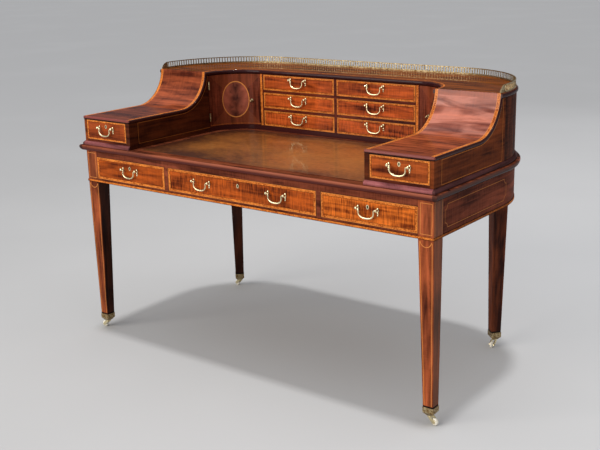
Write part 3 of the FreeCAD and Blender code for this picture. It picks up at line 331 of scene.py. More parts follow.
print("grain can run along", ", ".join([*TURNS, "round"]))

# %% Strings, panels, and giving a piece its finish
def string(tree, distance, start, width):
    return Field(tree, use(tree, line, Distance=distance, Start=start, Width=width)["Mask"])


def panel(tree, across, up, half_across, half_up, scoop=0.0):
    sizes = {"Half_across": half_across, "Half_up": half_up, "Scoop": scoop}
    return Field(tree, use(tree, inside, Across=across, Up=up, **sizes)["Distance"])


def dress(piece, finish):
    piece.data.materials.clear()
    piece.data.materials.append(finish)


print("strings and panels ready")

# %% [markdown]
# ## Drawers
# Every drawer front is bordered with orange banding between thin strings, and the boards behind it
# are plain oak. The CAD drawer is one object, so the material asks how deep a point lies: the
# front board is mahogany and the rest is oak. The middle and right drawers of the frieze show the
# strongest ripple.

# %% Oak for what is hidden
oak, given, made = start_group("Plain oak", {"Vector": "Vector"}, {"Color": "Color"})
years = noise(oak, given["Vector"], (5, 130, 130), 5, 0.6)
stain = noise(oak, given["Vector"], (9, 9, 9), 3)
age = ((years - 0.5) * 1.5 + (stain - 0.5) * 1.2 + 0.5).held()
feed(oak, mix(oak, age, colour(92, 60, 34), colour(168, 122, 74)), made["Color"])

CASE_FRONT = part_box("wing_walls")[0].y


def runner_edges(tree, x, y, z):
    return [(y.over(CASE_FRONT + 0.001), use(tree, oak, Vector=point(tree, y, x, z))["Color"])]


RUNNER_DARK, RUNNER_LIGHT = (50, 18, 12), (120, 54, 36)
runner_finish = polished(
    "runner oak", "X", runner_edges, 0.2, RUNNER_DARK, RUNNER_LIGHT, DULL_GLOSS
)
dress(nodes["drawer_runners"], runner_finish)
print("oak begins behind y =", round(CASE_FRONT, 4))

# %% Drawer fronts
FRIEZE_BAND, WING_BAND, BANK_BAND = 0.0095, 0.0066, 0.0076
DARK_RIM, LIGHT_RIM, DARK_BORDER = 0.0008, 0.0018, 0.0010
LARGE_FRONT, SMALL_FRONT = 0.0175, 0.0125
INLAY_DEPTH = 0.0016


def drawer_front(name, band, ripple, dark, light):
    low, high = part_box(f"{name}_drawer")
    middle, half = (low + high) / 2, (high - low) / 2
    thickness = SMALL_FRONT if low.y > 0 else LARGE_FRONT

    def inlays(tree, x, y, z):
        edge = panel(tree, x - middle.x, z - middle.z, half.x, half.z)
        depth = y - low.y
        face = depth.under(INLAY_DEPTH)
        return [
            (edge.under(band + DARK_BORDER) * face, DARK_STRING),
            (edge.under(band) * face, "banding"),
            (edge.under(LIGHT_RIM) * face, BOXWOOD),
            (edge.under(DARK_RIM) * face, DARK_STRING),
            (depth.over(thickness), use(tree, oak, Vector=point(tree, y, x, z))["Color"]),
        ]

    finish = polished(f"{name} drawer veneer", "X", inlays, ripple, dark, light)
    dress(nodes[f"{name}_drawer"], finish)


drawer_front("centre", FRIEZE_BAND, 0.9, (76, 27, 10), (198, 92, 31))
drawer_front("left_side", FRIEZE_BAND, 0.3, (76, 26, 8), (198, 92, 30))
drawer_front("right_side", FRIEZE_BAND, 0.9, (108, 42, 12), (242, 124, 42))
drawer_front("left_wing", WING_BAND, 0.25, (66, 22, 9), (164, 74, 32))
drawer_front("right_wing", WING_BAND, 0.25, (74, 26, 10), (206, 100, 42))
for side in ("left", "right"):
    for row, ripple in (("lower", 0.7), ("middle", 0.5), ("upper", 0.4)):
        drawer_front(f"{side}_{row}", BANK_BAND, ripple, (82, 29, 13), (216, 99, 42))
print(len(finishes), "finishes so far")

# %% [markdown]
# ## Frieze and legs
# A bead of banding runs round the foot of the frieze and over the legs. The sides of the frieze
# carry a string panel with scooped corners. The legs taper, so their strings are measured from
# edges that lean: the width of a leg at a height comes from its widths at the top and at the foot.

# %% Frieze
frieze_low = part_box("frieze")[0]
BEAD_HEIGHT, FRIEZE_SIDE = 0.008, 0.7505
BEAD_TOP = frieze_low.z + BEAD_HEIGHT
SIDE_PANEL_Y, SIDE_PANEL_Z = -0.134, 0.662
SIDE_PANEL_SIZES = (0.2035, 0.0365, 0.016)  # half across, half up, scoop of its corners
STRING_WIDTH, DARK_WIDTH = 0.0016, 0.0014


def frieze_inlays(tree, x, y, z):
    sides = abs(x).over(FRIEZE_SIDE)
    scooped = panel(tree, y - SIDE_PANEL_Y, z - SIDE_PANEL_Z, *SIDE_PANEL_SIZES)
    return [
        (string(tree, scooped, 0.0, STRING_WIDTH) * sides * 0.65, BOXWOOD),
        (string(tree, z, BEAD_TOP, DARK_WIDTH), DARK_STRING),
        (z.under(BEAD_TOP), "banding"),
        (z.under(BEAD_TOP) * sides * 0.5, colour(66, 30, 18)),
        (z.under(frieze_low.z + DARK_WIDTH), DARK_STRING),
    ]


FRIEZE_DARK, FRIEZE_LIGHT = (71, 31, 20), (145, 73, 49)
frieze_finish = polished(
    "frieze veneer", "round", frieze_inlays, 0.4, FRIEZE_DARK, FRIEZE_LIGHT, DULL_GLOSS
)
dress(nodes["frieze"], frieze_finish)
print("bead up to z =", round(BEAD_TOP, 4))

# %% Legs
LEG_TOP, LEG_FOOT = frieze_low.z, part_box("legs")[0].z
LEG_OUTSIDE, LEG_FRONT, LEG_BACK = 0.752, -0.402, -0.348
FOOT_FRONT, FOOT_WIDTH, WIDENING = -0.395, 0.035, 0.019
FORWARD = FOOT_FRONT - LEG_FRONT
STRING_INSET, LEG_SIDE_WIDTH = 0.0045, 0.0013
POST_X, POST_Z, POST_HALVES = 0.7255, 0.665, (0.0205, 0.048)
SWAG_X, SWAG_Z, SWAG_RADIUS, SWAG_TOP = 0.725, 0.598, 0.0195, 0.5955
CUP_TOP, CUFF_WIDTH, STRINGS_FOOT, STRINGS_TOP = 0.060, 0.0055, 0.066, LEG_TOP - 0.008
FACE_SKIN, SIDE_SKIN, SWAG_HALF_WIDTH = 0.0012, 0.0005, 0.0009


def leg_inlays_and_painted_light(tree, x, y, z):
    taper = ((z - LEG_FOOT) * (1 / (LEG_TOP - LEG_FOOT))).held()
    front_face = (y - FOOT_FRONT + taper * FORWARD).under(FACE_SKIN)
    from_outside = LEG_OUTSIDE - abs(x)
    edge = from_outside.least(taper * WIDENING + FOOT_WIDTH - from_outside)
    strings = string(tree, edge, STRING_INSET, STRING_WIDTH)
    strings = strings * z.under(STRINGS_TOP) * z.over(STRINGS_FOOT)
    from_swag = (abs(x) - SWAG_X).length(z - SWAG_Z) - SWAG_RADIUS
    swag = abs(from_swag).under(SWAG_HALF_WIDTH) * z.under(SWAG_TOP)
    post_panel = panel(tree, abs(x) - POST_X, z - POST_Z, *POST_HALVES)
    post_line = string(tree, post_panel, 0.0, DARK_WIDTH)
    side_edge = (y - LEG_FRONT).least(LEG_BACK - y)
    side_line = string(tree, side_edge, STRING_INSET, LEG_SIDE_WIDTH)
    side_line = side_line * z.over(LEG_TOP) * abs(x).over(LEG_OUTSIDE - SIDE_SKIN)
    drawn_lines = (strings + swag + post_line) * front_face + side_line
    # Painted shade: the faces of the left legs other than the front are darkened, the left legs a
    # little all over, and the back legs more, as painted shade.
    left = x.under(0.0)
    shaded = (1.0 - front_face) * left * 0.88
    painted_shade = (y.over(0.0) * 0.6).most(left * 0.2).most(shaded)
    return [
        (painted_shade, colour(27, 14, 11)),
        # Painted sheen: the faces of the right front legs other than the front are lightened to a
        # greyish brown, as a painted sheen.
        ((1.0 - front_face) * (1.0 - left) * y.under(0.0) * 0.5, colour(102, 84, 72)),
        (z.over(LEG_TOP) * front_face * 0.15, colour(214, 116, 70)),
        (drawn_lines, BOXWOOD),
        (string(tree, z, CUP_TOP, CUFF_WIDTH), colour(26, 18, 16)),
    ]


leg_finish = polished("leg veneer", "Z", leg_inlays_and_painted_light, 0.1, (66, 26, 16), (186, 94, 54))
print("legs from", round(LEG_FOOT, 3), "to", round(LEG_TOP, 3))

# %% [markdown]
# ## Upper case
# The wings have a string panel that follows their swept edge. The lids and the deck are edged with
# banding, the veneer of the doors is quartered round an oval, and the drawer bank has a light
# upright at each end. On a curved door the place across is an angle about the middle of the curve,
# so the oval stays an oval on the curved face.

# %% Wings, case and moulding
lid_low, lid_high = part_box("wing_lids")
LID_INNER, LID_OUTER = 0.5085, lid_high.x
SWEEP_Y, SWEEP_Z, SWEEP_UNDER = -0.1242, 0.992, 0.1526
PANEL_FOOT, PANEL_FRONT, PANEL_BACK, PANEL_INSET = 0.7605, -0.358, 0.035, 0.002
INNER_WALL, WING_STRING = 0.5285, 0.0018
WING_TONES = (56, 22, 9), (140, 68, 31)
CASE_TONES = (42, 18, 11), (108, 53, 32)


def wing_inlays_and_shade(tree, x, y, z):
    past = y.over(SWEEP_Y)
    swept = (y - SWEEP_Y).length(z - SWEEP_Z) - SWEEP_UNDER
    under_lid = (lid_low.z - z) * (1.0 - past) + swept * past
    from_ends = (y - PANEL_FRONT).least(PANEL_BACK - y)
    edge = (under_lid - PANEL_INSET).least(z - PANEL_FOOT).least(from_ends)
    # Painted shade: the inner walls of the wings are darkened, and their string dimmed, as painted
    # shade.
    inner = abs(x).under(INNER_WALL)
    fine = string(tree, edge, 0.0, WING_STRING) * (1.0 - inner * 0.4)
    return [(inner * 0.5, colour(25, 13, 17)), (fine, colour(198, 118, 52))]


wing_finish = polished("wing veneer", "round", wing_inlays_and_shade, 0.3, *WING_TONES, DULL_GLOSS)
dress(nodes["wing_walls"], wing_finish)
dress(nodes["case_back"], polished("case veneer", "Z", None, 0.6, *CASE_TONES, DULL_GLOSS))
MOULDING_SIDE, MOULDING_TONES = 0.7495, ((90, 46, 47), (180, 106, 106))


def moulding_shade(tree, x, y, z):
    # Painted shade: the sides and back of the moulding are darkened as painted shade, and its left
    # half half as much.
    far_left = x.under(0.0) * 0.5
    shaded = abs(x).over(MOULDING_SIDE).most(y.over(0.0)).most(far_left)
    return [(shaded * 0.75, colour(40, 24, 20))]


moulding_finish = polished("moulding wood", "round", moulding_shade, 0.2, *MOULDING_TONES)
print("lids from", shown(lid_low), "to", shown(lid_high))

# %% Lids
LID_DARK, LID_LIGHT = (76, 30, 18), (174, 86, 50)
LID_POLISH = 0.38, 0.15  # gloss and blur
# A pale pink painted reflection, laid over the sweep of the right lid and the deck behind it.
PAINTED_REFLECTION = colour(240, 160, 140)
INNER_STRING, LID_BAND, OUTER_STRING, LID_RIM = 0.0158, 0.0146, 0.0058, 0.0046
LID_NOSING, NOSING_MIDDLE, JOINT_HALF = 0.006, 0.8445, 0.0007


def lid_bands(tree, x):
    edge = (abs(x) - LID_INNER).least(LID_OUTER - abs(x))
    return [
        (edge.under(INNER_STRING), BOXWOOD),
        (edge.under(LID_BAND), "banding"),
        (edge.under(OUTER_STRING), BOXWOOD),
        (edge.under(LID_RIM), colour(58, 24, 22)),
    ]


def lid_inlays_and_painted_light(tree, x, y, z):
    nosing = y.under(lid_low.y + LID_NOSING)
    joint = abs(y - SWEEP_Y).under(JOINT_HALF)
    # Painted reflection: the sweep of the right lid gets pale patches of painted reflection, with
    # a darker pink between them.
    cloudy = noise(tree, point(tree, x, y, z), (7, 26, 26), 3, 1.0)
    reflection_patches = ((cloudy - 0.5) * 4.0 + 0.75).held()
    sweep = ((y - SWEEP_Y) * 12.0).held() * x.over(0.0)
    return [
        (sweep * reflection_patches * 0.5, PAINTED_REFLECTION),
        (sweep * (1.0 - reflection_patches) * 0.4, colour(104, 46, 48)),
        # Painted shade: the flat of the left lid is greyed, as painted shade with a grey painted
        # reflection.
        (y.under(SWEEP_Y) * x.under(0.0) * 0.45, colour(62, 54, 58)),
        *lid_bands(tree, x),
        # The nosing is pinkish, and below its middle painted shade darkens it.
        (nosing, colour(128, 66, 58)),
        (nosing * z.under(NOSING_MIDDLE), colour(44, 19, 17)),
        (joint, DARK_STRING),
    ]


lid_finish = polished("lid veneer", "X", lid_inlays_and_painted_light, 0.3, LID_DARK, LID_LIGHT, *LID_POLISH)
print(lid_finish.name, "has", len(lid_finish.node_tree.nodes), "nodes")

# %% Deck, whose ends go on with the sweep of the lids
ARC_X, ARC_Y, ARC_R = 0.360, 0.021, 0.150
LIDS_BACK, NOSING_DARK, NOSING_TOP = 0.0160, 0.9785, 0.9805
EDGING_INSET, EDGING_WIDTH = 0.0066, 0.0060
DECK_TONES, DECK_POLISH = ((66, 28, 8), (150, 78, 24)), (0.36, 0.02)


def deck_inlays_and_reflection(tree, x, y, z):
    over_lid = y.under(LIDS_BACK) * abs(x).over(LID_INNER)
    nosing = (z.under(NOSING_DARK) + z.under(NOSING_TOP) * 0.5).least(1.0) * (1.0 - over_lid)
    tones = {"Dark": colour(*LID_DARK), "Light": colour(*LID_LIGHT)}
    veneer = use(tree, mahogany, Vector=point(tree, x, y, z), Ripple=0.5, **tones)["Color"]
    from_bend = (abs(x) - ARC_X).most(0.0).length((y - ARC_Y).most(0.0))
    edging = string(tree, from_bend, ARC_R + EDGING_INSET, EDGING_WIDTH)
    return [
        (nosing, colour(52, 22, 24)),
        (edging * y.over(ARC_Y) * z.over(NOSING_TOP), "banding"),
        (over_lid, veneer),
        # Painted reflection: the deck over the right lid gets the pale painted reflection too.
        (over_lid * x.over(0.0) * 0.3, PAINTED_REFLECTION),
        *[(mask * over_lid, over) for mask, over in lid_bands(tree, x)],
    ]


deck_finish = polished("deck veneer", "X", deck_inlays_and_reflection, 0.15, *DECK_TONES, *DECK_POLISH)
print(deck_finish.name, "has", len(deck_finish.node_tree.nodes), "nodes")

# %% Doors
DOOR_MIDDLE, DOOR_HALF_HEIGHT, DOOR_HALF_WIDTH = 0.8626, 0.1005, 0.1107
OVAL_TURN, OVAL_HALF_HEIGHT, OVAL_HALF_WIDTH = math.radians(48.4), 0.0705, 0.0535
FOOT_LINE, FOOT_LINE_WIDTH = 0.0030, 0.0024


def door_inlays(tree, x, y, z):
    turn = (y - ARC_Y).step("ARCTAN2", abs(x) - ARC_X)
    across = (turn - OVAL_TURN) * (ARC_R / OVAL_HALF_WIDTH)
    up = z - DOOR_MIDDLE
    oval = across.length(up * (1 / OVAL_HALF_HEIGHT))
    inlaid = oval.under(1.0)
    ragged = noise(tree, point(tree, x, y, z), (40, 40, 40), 3, 0.5) - 0.5
    feathers = (abs(across) * 7.0 - up * 110.0 + ragged * 9.0).step("SINE") * 0.5 + 0.5
    stem = (1.0 - abs(across) * 1.5 + ragged * 1.6).held()
    steep = abs(across) * (OVAL_HALF_WIDTH / DOOR_HALF_WIDTH)
    mitred = (abs(up) * (1 / DOOR_HALF_HEIGHT)).over(steep)
    foot_line = string(tree, up, FOOT_LINE - DOOR_HALF_HEIGHT, FOOT_LINE_WIDTH)
    return [
        (mitred * 0.3, colour(150, 78, 46)),
        (foot_line * 0.6, "banding"),
        (inlaid * 0.72, colour(190, 104, 80)),
        (inlaid * (stem * 0.64 + feathers * 0.24).held(), colour(46, 20, 19)),
        (abs(oval - 1.0).under(0.03), BOXWOOD),
    ]


door_finish = polished("door veneer", "Z", door_inlays, 0.2, (58, 25, 18), (150, 72, 48))
dress(nodes["left_door"], door_finish)
dress(nodes["right_door"], door_finish)
print(door_finish.name, "has", len(door_finish.node_tree.nodes), "nodes")

# %% Drawer bank
BANK_FACE, PLINTH_TOP, UPRIGHT_FOOT = 0.1715, 0.7612, 0.7615
RIGHT_UPRIGHT, LEFT_UPRIGHT, UPRIGHT_WIDTH = 0.3478, 0.3522, 0.0100
BANK_TONES = (48, 16, 12), (116, 48, 32)


def bank_inlays(tree, x, y, z):
    face = y.under(BANK_FACE) * z.over(UPRIGHT_FOOT)
    right_upright = string(tree, x, RIGHT_UPRIGHT, UPRIGHT_WIDTH) * face
    left_upright = string(tree, 0.0 - x, LEFT_UPRIGHT, UPRIGHT_WIDTH) * face
    return [
        (z.under(PLINTH_TOP), colour(66, 28, 27)),
        (right_upright.most(left_upright), "banding"),
    ]


dress(nodes["bank_frame"], polished("bank frame", "X", bank_inlays, 0.3, *BANK_TONES))
print(len(finishes), "finishes so far")

# %% Table top
EDGE_TOP, SIDES_TOP, EDGE_MIDDLE = 0.7426, 0.7425, 0.7385
TOP_SIDE, TOP_BACK, TOP_LEFT = 0.7545, 0.2, -0.75
TOP_TONES, TOP_GLOSS = ((60, 26, 18), (146, 76, 48)), 0.3


def top_painted_light(tree, x, y, z):
    # Painted highlight: the front edge below the top is painted pinkish as a painted highlight,
    # fading out towards the left end.
    wear_and_highlight = z.under(EDGE_TOP) * ((x - TOP_LEFT) * 1.6).held() * 0.65
    # Painted shade: the edge darkens below its middle, and the sides and the back are darkened, as
    # painted shade.
    lower = ((EDGE_MIDDLE - z) * 160.0).held()
    sides = (abs(x).over(TOP_SIDE) * z.under(SIDES_TOP)).most(y.over(TOP_BACK)) * 0.75
    return [(wear_and_highlight, colour(176, 100, 74)), (lower, colour(86, 38, 32)), (sides, colour(44, 26, 22))]


dress(nodes["table_top"], polished("top wood", "X", top_painted_light, 0.35, *TOP_TONES, TOP_GLOSS))
print(len(finishes), "finishes so far")

# %% [markdown]
# ## Leather
# The writing surface is one hide, worn smooth and waxed. It is tan in the middle, where hands and
# paper rub it, and darker towards the edges. Two tooled lines follow its border. The grain is too
# fine to model, so it is a cell pattern in the bump.

# %% Waxed leather
HIDE_SIDE, HIDE_FRONT, HIDE_BACK, HIDE_BEND = 0.485, -0.372, 0.146, 0.125
FINE_LINE, BROAD_LINE = (0.012, 0.0012), (0.0165, 0.0030)  # distance from the edge, width

tree, shader, place = new_finish(
    "waxed leather", Coat_Weight=0.6, Coat_Roughness=0.1, Specular_IOR_Level=0.2
)
x, y, z = parts(tree, place)
flat = (HIDE_SIDE - abs(x)).least(y - HIDE_FRONT).least(HIDE_BACK - y)
bend = HIDE_BEND - (abs(x) - ARC_X).most(0.0).length((y - ARC_Y).most(0.0))
edge = flat.least(bend)
wear = noise(tree, place, (5, 8, 1), 4, 0.4)
creases = noise(tree, place, (60, 75, 1), 6, 0.3)
wear_and_highlight = wear - 0.5 + (creases - 0.5) * 0.7
rubbed = (edge * 3.0 + wear_and_highlight + (x - 0.1) * 0.25 + 0.10).held()
hide = mix(tree, rubbed, colour(72, 36, 18), colour(194, 120, 52))
tooled = string(tree, edge, *FINE_LINE).most(string(tree, edge, *BROAD_LINE) * 0.5)
feed(tree, mix(tree, tooled * 0.55, hide, colour(58, 28, 14)), shader.inputs["Base Color"])
feed(tree, 0.42 - rubbed * 0.14 + creases * 0.08, shader.inputs["Roughness"])
cells = add(tree, "ShaderNodeTexVoronoi", {"Vector": place, "Scale": 900.0}).outputs["Distance"]
bump(tree, shader, Field(tree, cells) * 0.5 - tooled * 1.5)
dress(nodes["leather_top"], finishes["waxed leather"])

# %% [markdown]
# ## Brass and ceramic
# The handles are polished by use and pale on their bows, with brown tarnish in the hollows. The
# gallery and the caster cups are duller. A group mixes bright and tarnished brass by a noise, and
# each finish sets how far tarnish goes. An attribute marks the floor of each keyhole, which is
# painted near black as painted shade, standing for the dark inside the hole. The wheels of the
# casters are white ceramic with a little grime.

# %% Brass
brass, given, made = start_group(
    "Worn brass",
    {"Vector": "Vector", "Tarnish": "Float", "Hollow": "Float"},
    {"Color": "Color", "Roughness": "Float"},
)
spots = noise(brass, given["Vector"], (190, 190, 190), 4, 0.5)
age = ((spots - 0.60) * 1.8 + given["Tarnish"]).held()
metal = mix(brass, age, colour(240, 226, 182), colour(116, 83, 36))
# Faces marked as the inside of a keyhole are painted near black, as painted shade.
feed(brass, mix(brass, given["Hollow"], metal, colour(14, 9, 6)), made["Color"])
feed(brass, age * 0.26 + spots * 0.10 + 0.18, made["Roughness"])


def worn_brass(name, tarnish):
    tree, shader, place = new_finish(name, Metallic=1.0)
    hollow = add(tree, "ShaderNodeAttribute", attribute_name="hollow").outputs["Fac"]
    metal = use(tree, brass, Vector=place, Tarnish=tarnish, Hollow=hollow)
    feed(tree, metal["Color"], shader.inputs["Base Color"])
    feed(tree, metal["Roughness"], shader.inputs["Roughness"])
    return finishes[name]


handle_brass = worn_brass("handle brass", 0.2)
gallery_brass = worn_brass("gallery brass", 0.85)
caster_brass = worn_brass("caster brass", 0.95)
for name in nodes:
    if name in ("gallery", "door_hinges") or name.endswith("_door_fittings"):
        dress(nodes[name], gallery_brass)
    if name.endswith("_caster_fork"):
        dress(nodes[name], handle_brass)
print(len([item for item in finishes if "brass" in item]), "brass finishes")

# %% White ceramic
tree, shader, place = new_finish("wheel ceramic", Coat_Weight=0.5, Coat_Roughness=0.1)
grime = noise(tree, place, (240, 240, 240), 4, 0.4)
dirt = ((grime - 0.52) * 3.0).held()
glaze = mix(tree, dirt, colour(248, 242, 224), colour(176, 160, 130))
feed(tree, glaze, shader.inputs["Base Color"])
feed(tree, grime * 0.3 + 0.15, shader.inputs["Roughness"])
print(len(finishes), "finishes in all")

# %% [markdown]
# ## Rounded edges
# The edges of the deck, lids, legs, moulding and caster cups are worn round, and they catch the
# light. The CAD pieces have crisp edges, so a copy of each is merged into one skin and its sharp
# edges are bevelled. Where the lids meet the deck the two must stay flush, so edges there are left
# alone. A weighted-normal modifier keeps the broad faces flat to the eye.

# %% Taking up a piece, and standing it for a CAD piece
def take_up(piece):
    bpy.ops.object.select_all(action="DESELECT")
    piece.select_set(True)
    bpy.context.view_layer.objects.active = piece


def stand_for(piece, node, body):
    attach(piece, body)
    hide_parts(node)


print("pieces can stand for CAD pieces")

# %% Copies with rounded edges
MERGE_DISTANCE = 0.00001
SHARP_ANGLE, SMOOTH_ANGLE = math.radians(28), math.radians(35)


def eased(name, width, finish, wanted=lambda middle: True):
    """A copy of a CAD piece with its sharp edges rounded, which stands for it."""
    piece = bpy.data.objects.new(f"{name}_eased", nodes[name].data.copy())
    bpy.context.scene.collection.objects.link(piece)
    take_up(piece)
    bpy.ops.mesh.customdata_custom_splitnormals_clear()
    bpy.ops.object.mode_set(mode="EDIT")
    bpy.ops.mesh.select_mode(type="EDGE")
    bpy.ops.mesh.select_all(action="SELECT")
    bpy.ops.mesh.remove_doubles(threshold=MERGE_DISTANCE)
    bpy.ops.mesh.normals_make_consistent(inside=False)
    bpy.ops.mesh.select_all(action="DESELECT")
    bpy.ops.mesh.edges_select_sharp(sharpness=SHARP_ANGLE)
    bpy.ops.object.mode_set(mode="OBJECT")
    points = piece.data.vertices
    for edge in piece.data.edges:
        first, last = (points[number].co for number in edge.vertices)
        edge.select = edge.select and wanted((first + last) / 2)
    bpy.ops.object.mode_set(mode="EDIT")
    bpy.ops.mesh.bevel(offset=width, segments=3, affect="EDGES", clamp_overlap=True)
    bpy.ops.object.mode_set(mode="OBJECT")
    bpy.ops.object.shade_smooth_by_angle(angle=SMOOTH_ANGLE)
    bpy.ops.object.modifier_add(type="WEIGHTED_NORMAL")
    piece.modifiers[-1].keep_sharp = True
    bpy.ops.object.modifier_apply(modifier=piece.modifiers[-1].name)
    dress(piece, finish)
    stand_for(piece, name, "desk")
    print(piece.name, len(piece.data.polygons), "faces")


GROOVE_X, GROOVE_Y, GROOVE_R, GROOVE_HALF = 0.4, 0.05, 0.3455, 0.004
NOSING_FRONT, LID_TOP = 0.0175, 0.9635


def deck_nosing(middle):
    """True away from the lids and from the groove in which the gallery stands."""
    from_corner = math.hypot(max(abs(middle.x) - GROOVE_X, 0), max(middle.y - GROOVE_Y, 0))
    return middle.y > NOSING_FRONT and abs(from_corner - GROOVE_R) > GROOVE_HALF


eased("deck", 0.0022, deck_finish, deck_nosing)
eased("wing_lids", 0.0045, lid_finish, lambda middle: middle.z < LID_TOP)
eased("legs", 0.0012, leg_finish)
eased("caster_caps", 0.0008, caster_brass)
eased("base_moulding", 0.0020, moulding_finish)

# %% [markdown]
# ## Handles
# Each handle is a cast swan-neck bail between two posts, with a drop-shaped husk behind each post.
# A bevelled curve could make the bail, but here it is drawn out like a rod on a bench: a small
# round face is extruded from station to station, turned to follow the bend and scaled to its
# thickness there. The same tool then makes the posts and husks, which are straight rods of
# changing thickness. The larger drawers also have a keyhole plate, and a lock inside.

# %% Draw a rod through stations
ROD_SIDES, ROD_SMOOTH = 10, math.radians(50)


def drawn(name, stations, sides=ROD_SIDES):
    """A round bar through stations (x, z, radius) in the plane y = 0."""
    points = [Vector((x, 0, z)) for x, z, radius in stations]
    ways = [end - start for start, end in zip(points, points[1:])]
    angles = [math.atan2(way.x, way.z) for way in ways]
    bpy.ops.object.select_all(action="DESELECT")
    bpy.ops.mesh.primitive_circle_add(
        vertices=sides, radius=stations[0][2], fill_type="NGON",
        location=points[0], rotation=(0, angles[0], 0),
    )
    piece = bpy.context.object
    piece.name = piece.data.name = name
    bpy.ops.object.transform_apply(location=True, rotation=True, scale=True)
    bpy.ops.object.mode_set(mode="EDIT")
    bpy.ops.mesh.select_all(action="SELECT")
    facing = angles[0]
    for index, way in enumerate(ways):
        here = points[index + 1]
        ahead = angles[min(index + 1, len(angles) - 1)]
        bend = angles[index] + math.remainder(ahead - angles[index], 2 * math.pi) / 2
        turn = -math.remainder(bend - facing, 2 * math.pi)
        growth = stations[index + 1][2] / stations[index][2]
        bpy.ops.mesh.extrude_region_move(TRANSFORM_OT_translate={"value": way})
        bpy.ops.transform.rotate(value=turn, orient_axis="Y", center_override=here)
        bpy.ops.transform.resize(value=[growth] * 3, center_override=here)
        facing = bend
    bpy.ops.mesh.select_all(action="SELECT")
    bpy.ops.mesh.normals_make_consistent(inside=False)
    bpy.ops.object.mode_set(mode="OBJECT")
    bpy.ops.object.shade_smooth_by_angle(angle=ROD_SMOOTH)
    return piece


def turned_rod(name, profile, sides):
    """A straight rod along z through (height, radius) pairs, as from a lathe."""
    return drawn(name, [(0, height, radius) for height, radius in profile], sides)


print("rods have", ROD_SIDES, "sides unless they ask for more")

# %% Twins, and the bail
def twin(piece, name, place, turn=None):
    """A copy with its own mesh, moved so that its origin comes to a place."""
    take_up(piece)
    bpy.ops.object.duplicate()
    copy = bpy.context.object
    copy.name = copy.data.name = name
    copy.location = place
    if turn:
        copy.rotation_euler = turn
    bpy.ops.object.transform_apply(location=True, rotation=True, scale=True)
    return copy


half_bow = [
    (0, -0.0287, 0.0034), (0.0090, -0.0283, 0.0033), (0.0172, -0.0262, 0.0031),
    (0.0236, -0.0218, 0.0028), (0.0272, -0.0158, 0.0025), (0.0277, -0.0098, 0.0022),
    (0.0268, -0.0052, 0.0021), (0.0278, -0.0015, 0.0020), (0.0308, 0, 0.0018), (0.0343, 0, 0.0016),
]
bail = drawn("bail", [(-x, z, radius) for x, z, radius in half_bow[:0:-1]] + half_bow)
print("bail", shown(bail.dimensions))

# %% Posts and husks
lathe = [
    (0, 0.0046), (0.0008, 0.0046), (0.0016, 0.0030), (0.0052, 0.0024), (0.0058, 0.0036),
    (0.0078, 0.0050), (0.0105, 0.0056), (0.0132, 0.0048), (0.0147, 0.0029), (0.0153, 0.0008),
]
post = turned_rod("post", lathe, 12)
post.rotation_euler.x = math.pi / 2
bpy.ops.object.transform_apply(location=False, rotation=True, scale=False)

HUSK_FLATNESS = 0.45
drops = [
    (0.0075, 0.0008), (0.0058, 0.0028), (0.0015, 0.0048), (-0.0034, 0.0045), (-0.0060, 0.0025),
    (-0.0075, 0.0036), (-0.0102, 0.0042), (-0.0128, 0.0025), (-0.0143, 0.0016), (-0.0160, 0.0028),
    (-0.0180, 0.0020), (-0.0200, 0.0005),
]
husk = turned_rod("husk", drops, ROD_SIDES)
husk.scale.y = HUSK_FLATNESS
bpy.ops.object.transform_apply(location=False, rotation=False, scale=True)
print("post", shown(post.dimensions), "husk", shown(husk.dimensions))

# %% Keyhole plates
PLATE_RADIUS, PLATE_STRETCH, PLATE_THICKNESS = 0.005, 1.5, 0.0012
PLATE_RIM, KEYHOLE_DEPTH = 0.0024, 0.0009
KEYHOLE_FLOOR = KEYHOLE_DEPTH - PLATE_THICKNESS

bpy.ops.object.select_all(action="DESELECT")
bpy.ops.mesh.primitive_circle_add(
    vertices=20, radius=PLATE_RADIUS, fill_type="NGON", rotation=(math.pi / 2, 0, 0)
)
plate = bpy.context.object
plate.scale = (1, PLATE_STRETCH, 1)
bpy.ops.object.transform_apply(location=True, rotation=True, scale=True)
bpy.ops.object.mode_set(mode="EDIT")
bpy.ops.mesh.select_all(action="SELECT")
bpy.ops.mesh.extrude_region_move(TRANSFORM_OT_translate={"value": (0, -PLATE_THICKNESS, 0)})
bpy.ops.mesh.inset(thickness=PLATE_RIM)
bpy.ops.mesh.extrude_region_move(TRANSFORM_OT_translate={"value": (0, KEYHOLE_DEPTH, 0)})
bpy.ops.mesh.select_all(action="SELECT")
bpy.ops.mesh.normals_make_consistent(inside=False)
bpy.ops.object.mode_set(mode="OBJECT")
# The floor of the keyhole is marked so that it is painted near black, as painted shade for the
# dark inside the hole.
plate.data.attributes.new("hollow", "FLOAT", "FACE")
keyhole_shades = plate.data.attributes["hollow"].data
for face in plate.data.polygons:
    keyhole_shades[face.index].value = 1.0 if abs(face.center.y - KEYHOLE_FLOOR) < 0.0002 else 0.0
bpy.ops.object.shade_smooth_by_angle(angle=math.radians(40))
print("keyhole plate", shown(plate.dimensions))

# %% A lock is a brass case let into the back of a drawer front, with a raised cover
LOCK_SIZE, LOCK_DEPTH, LOCK_EDGE = (0.054, 0.009, 0.032), 0.0225, 0.0008
COVER_INSET, COVER_RISE, COVER_RIM = 0.005, 0.0012, 0.0012

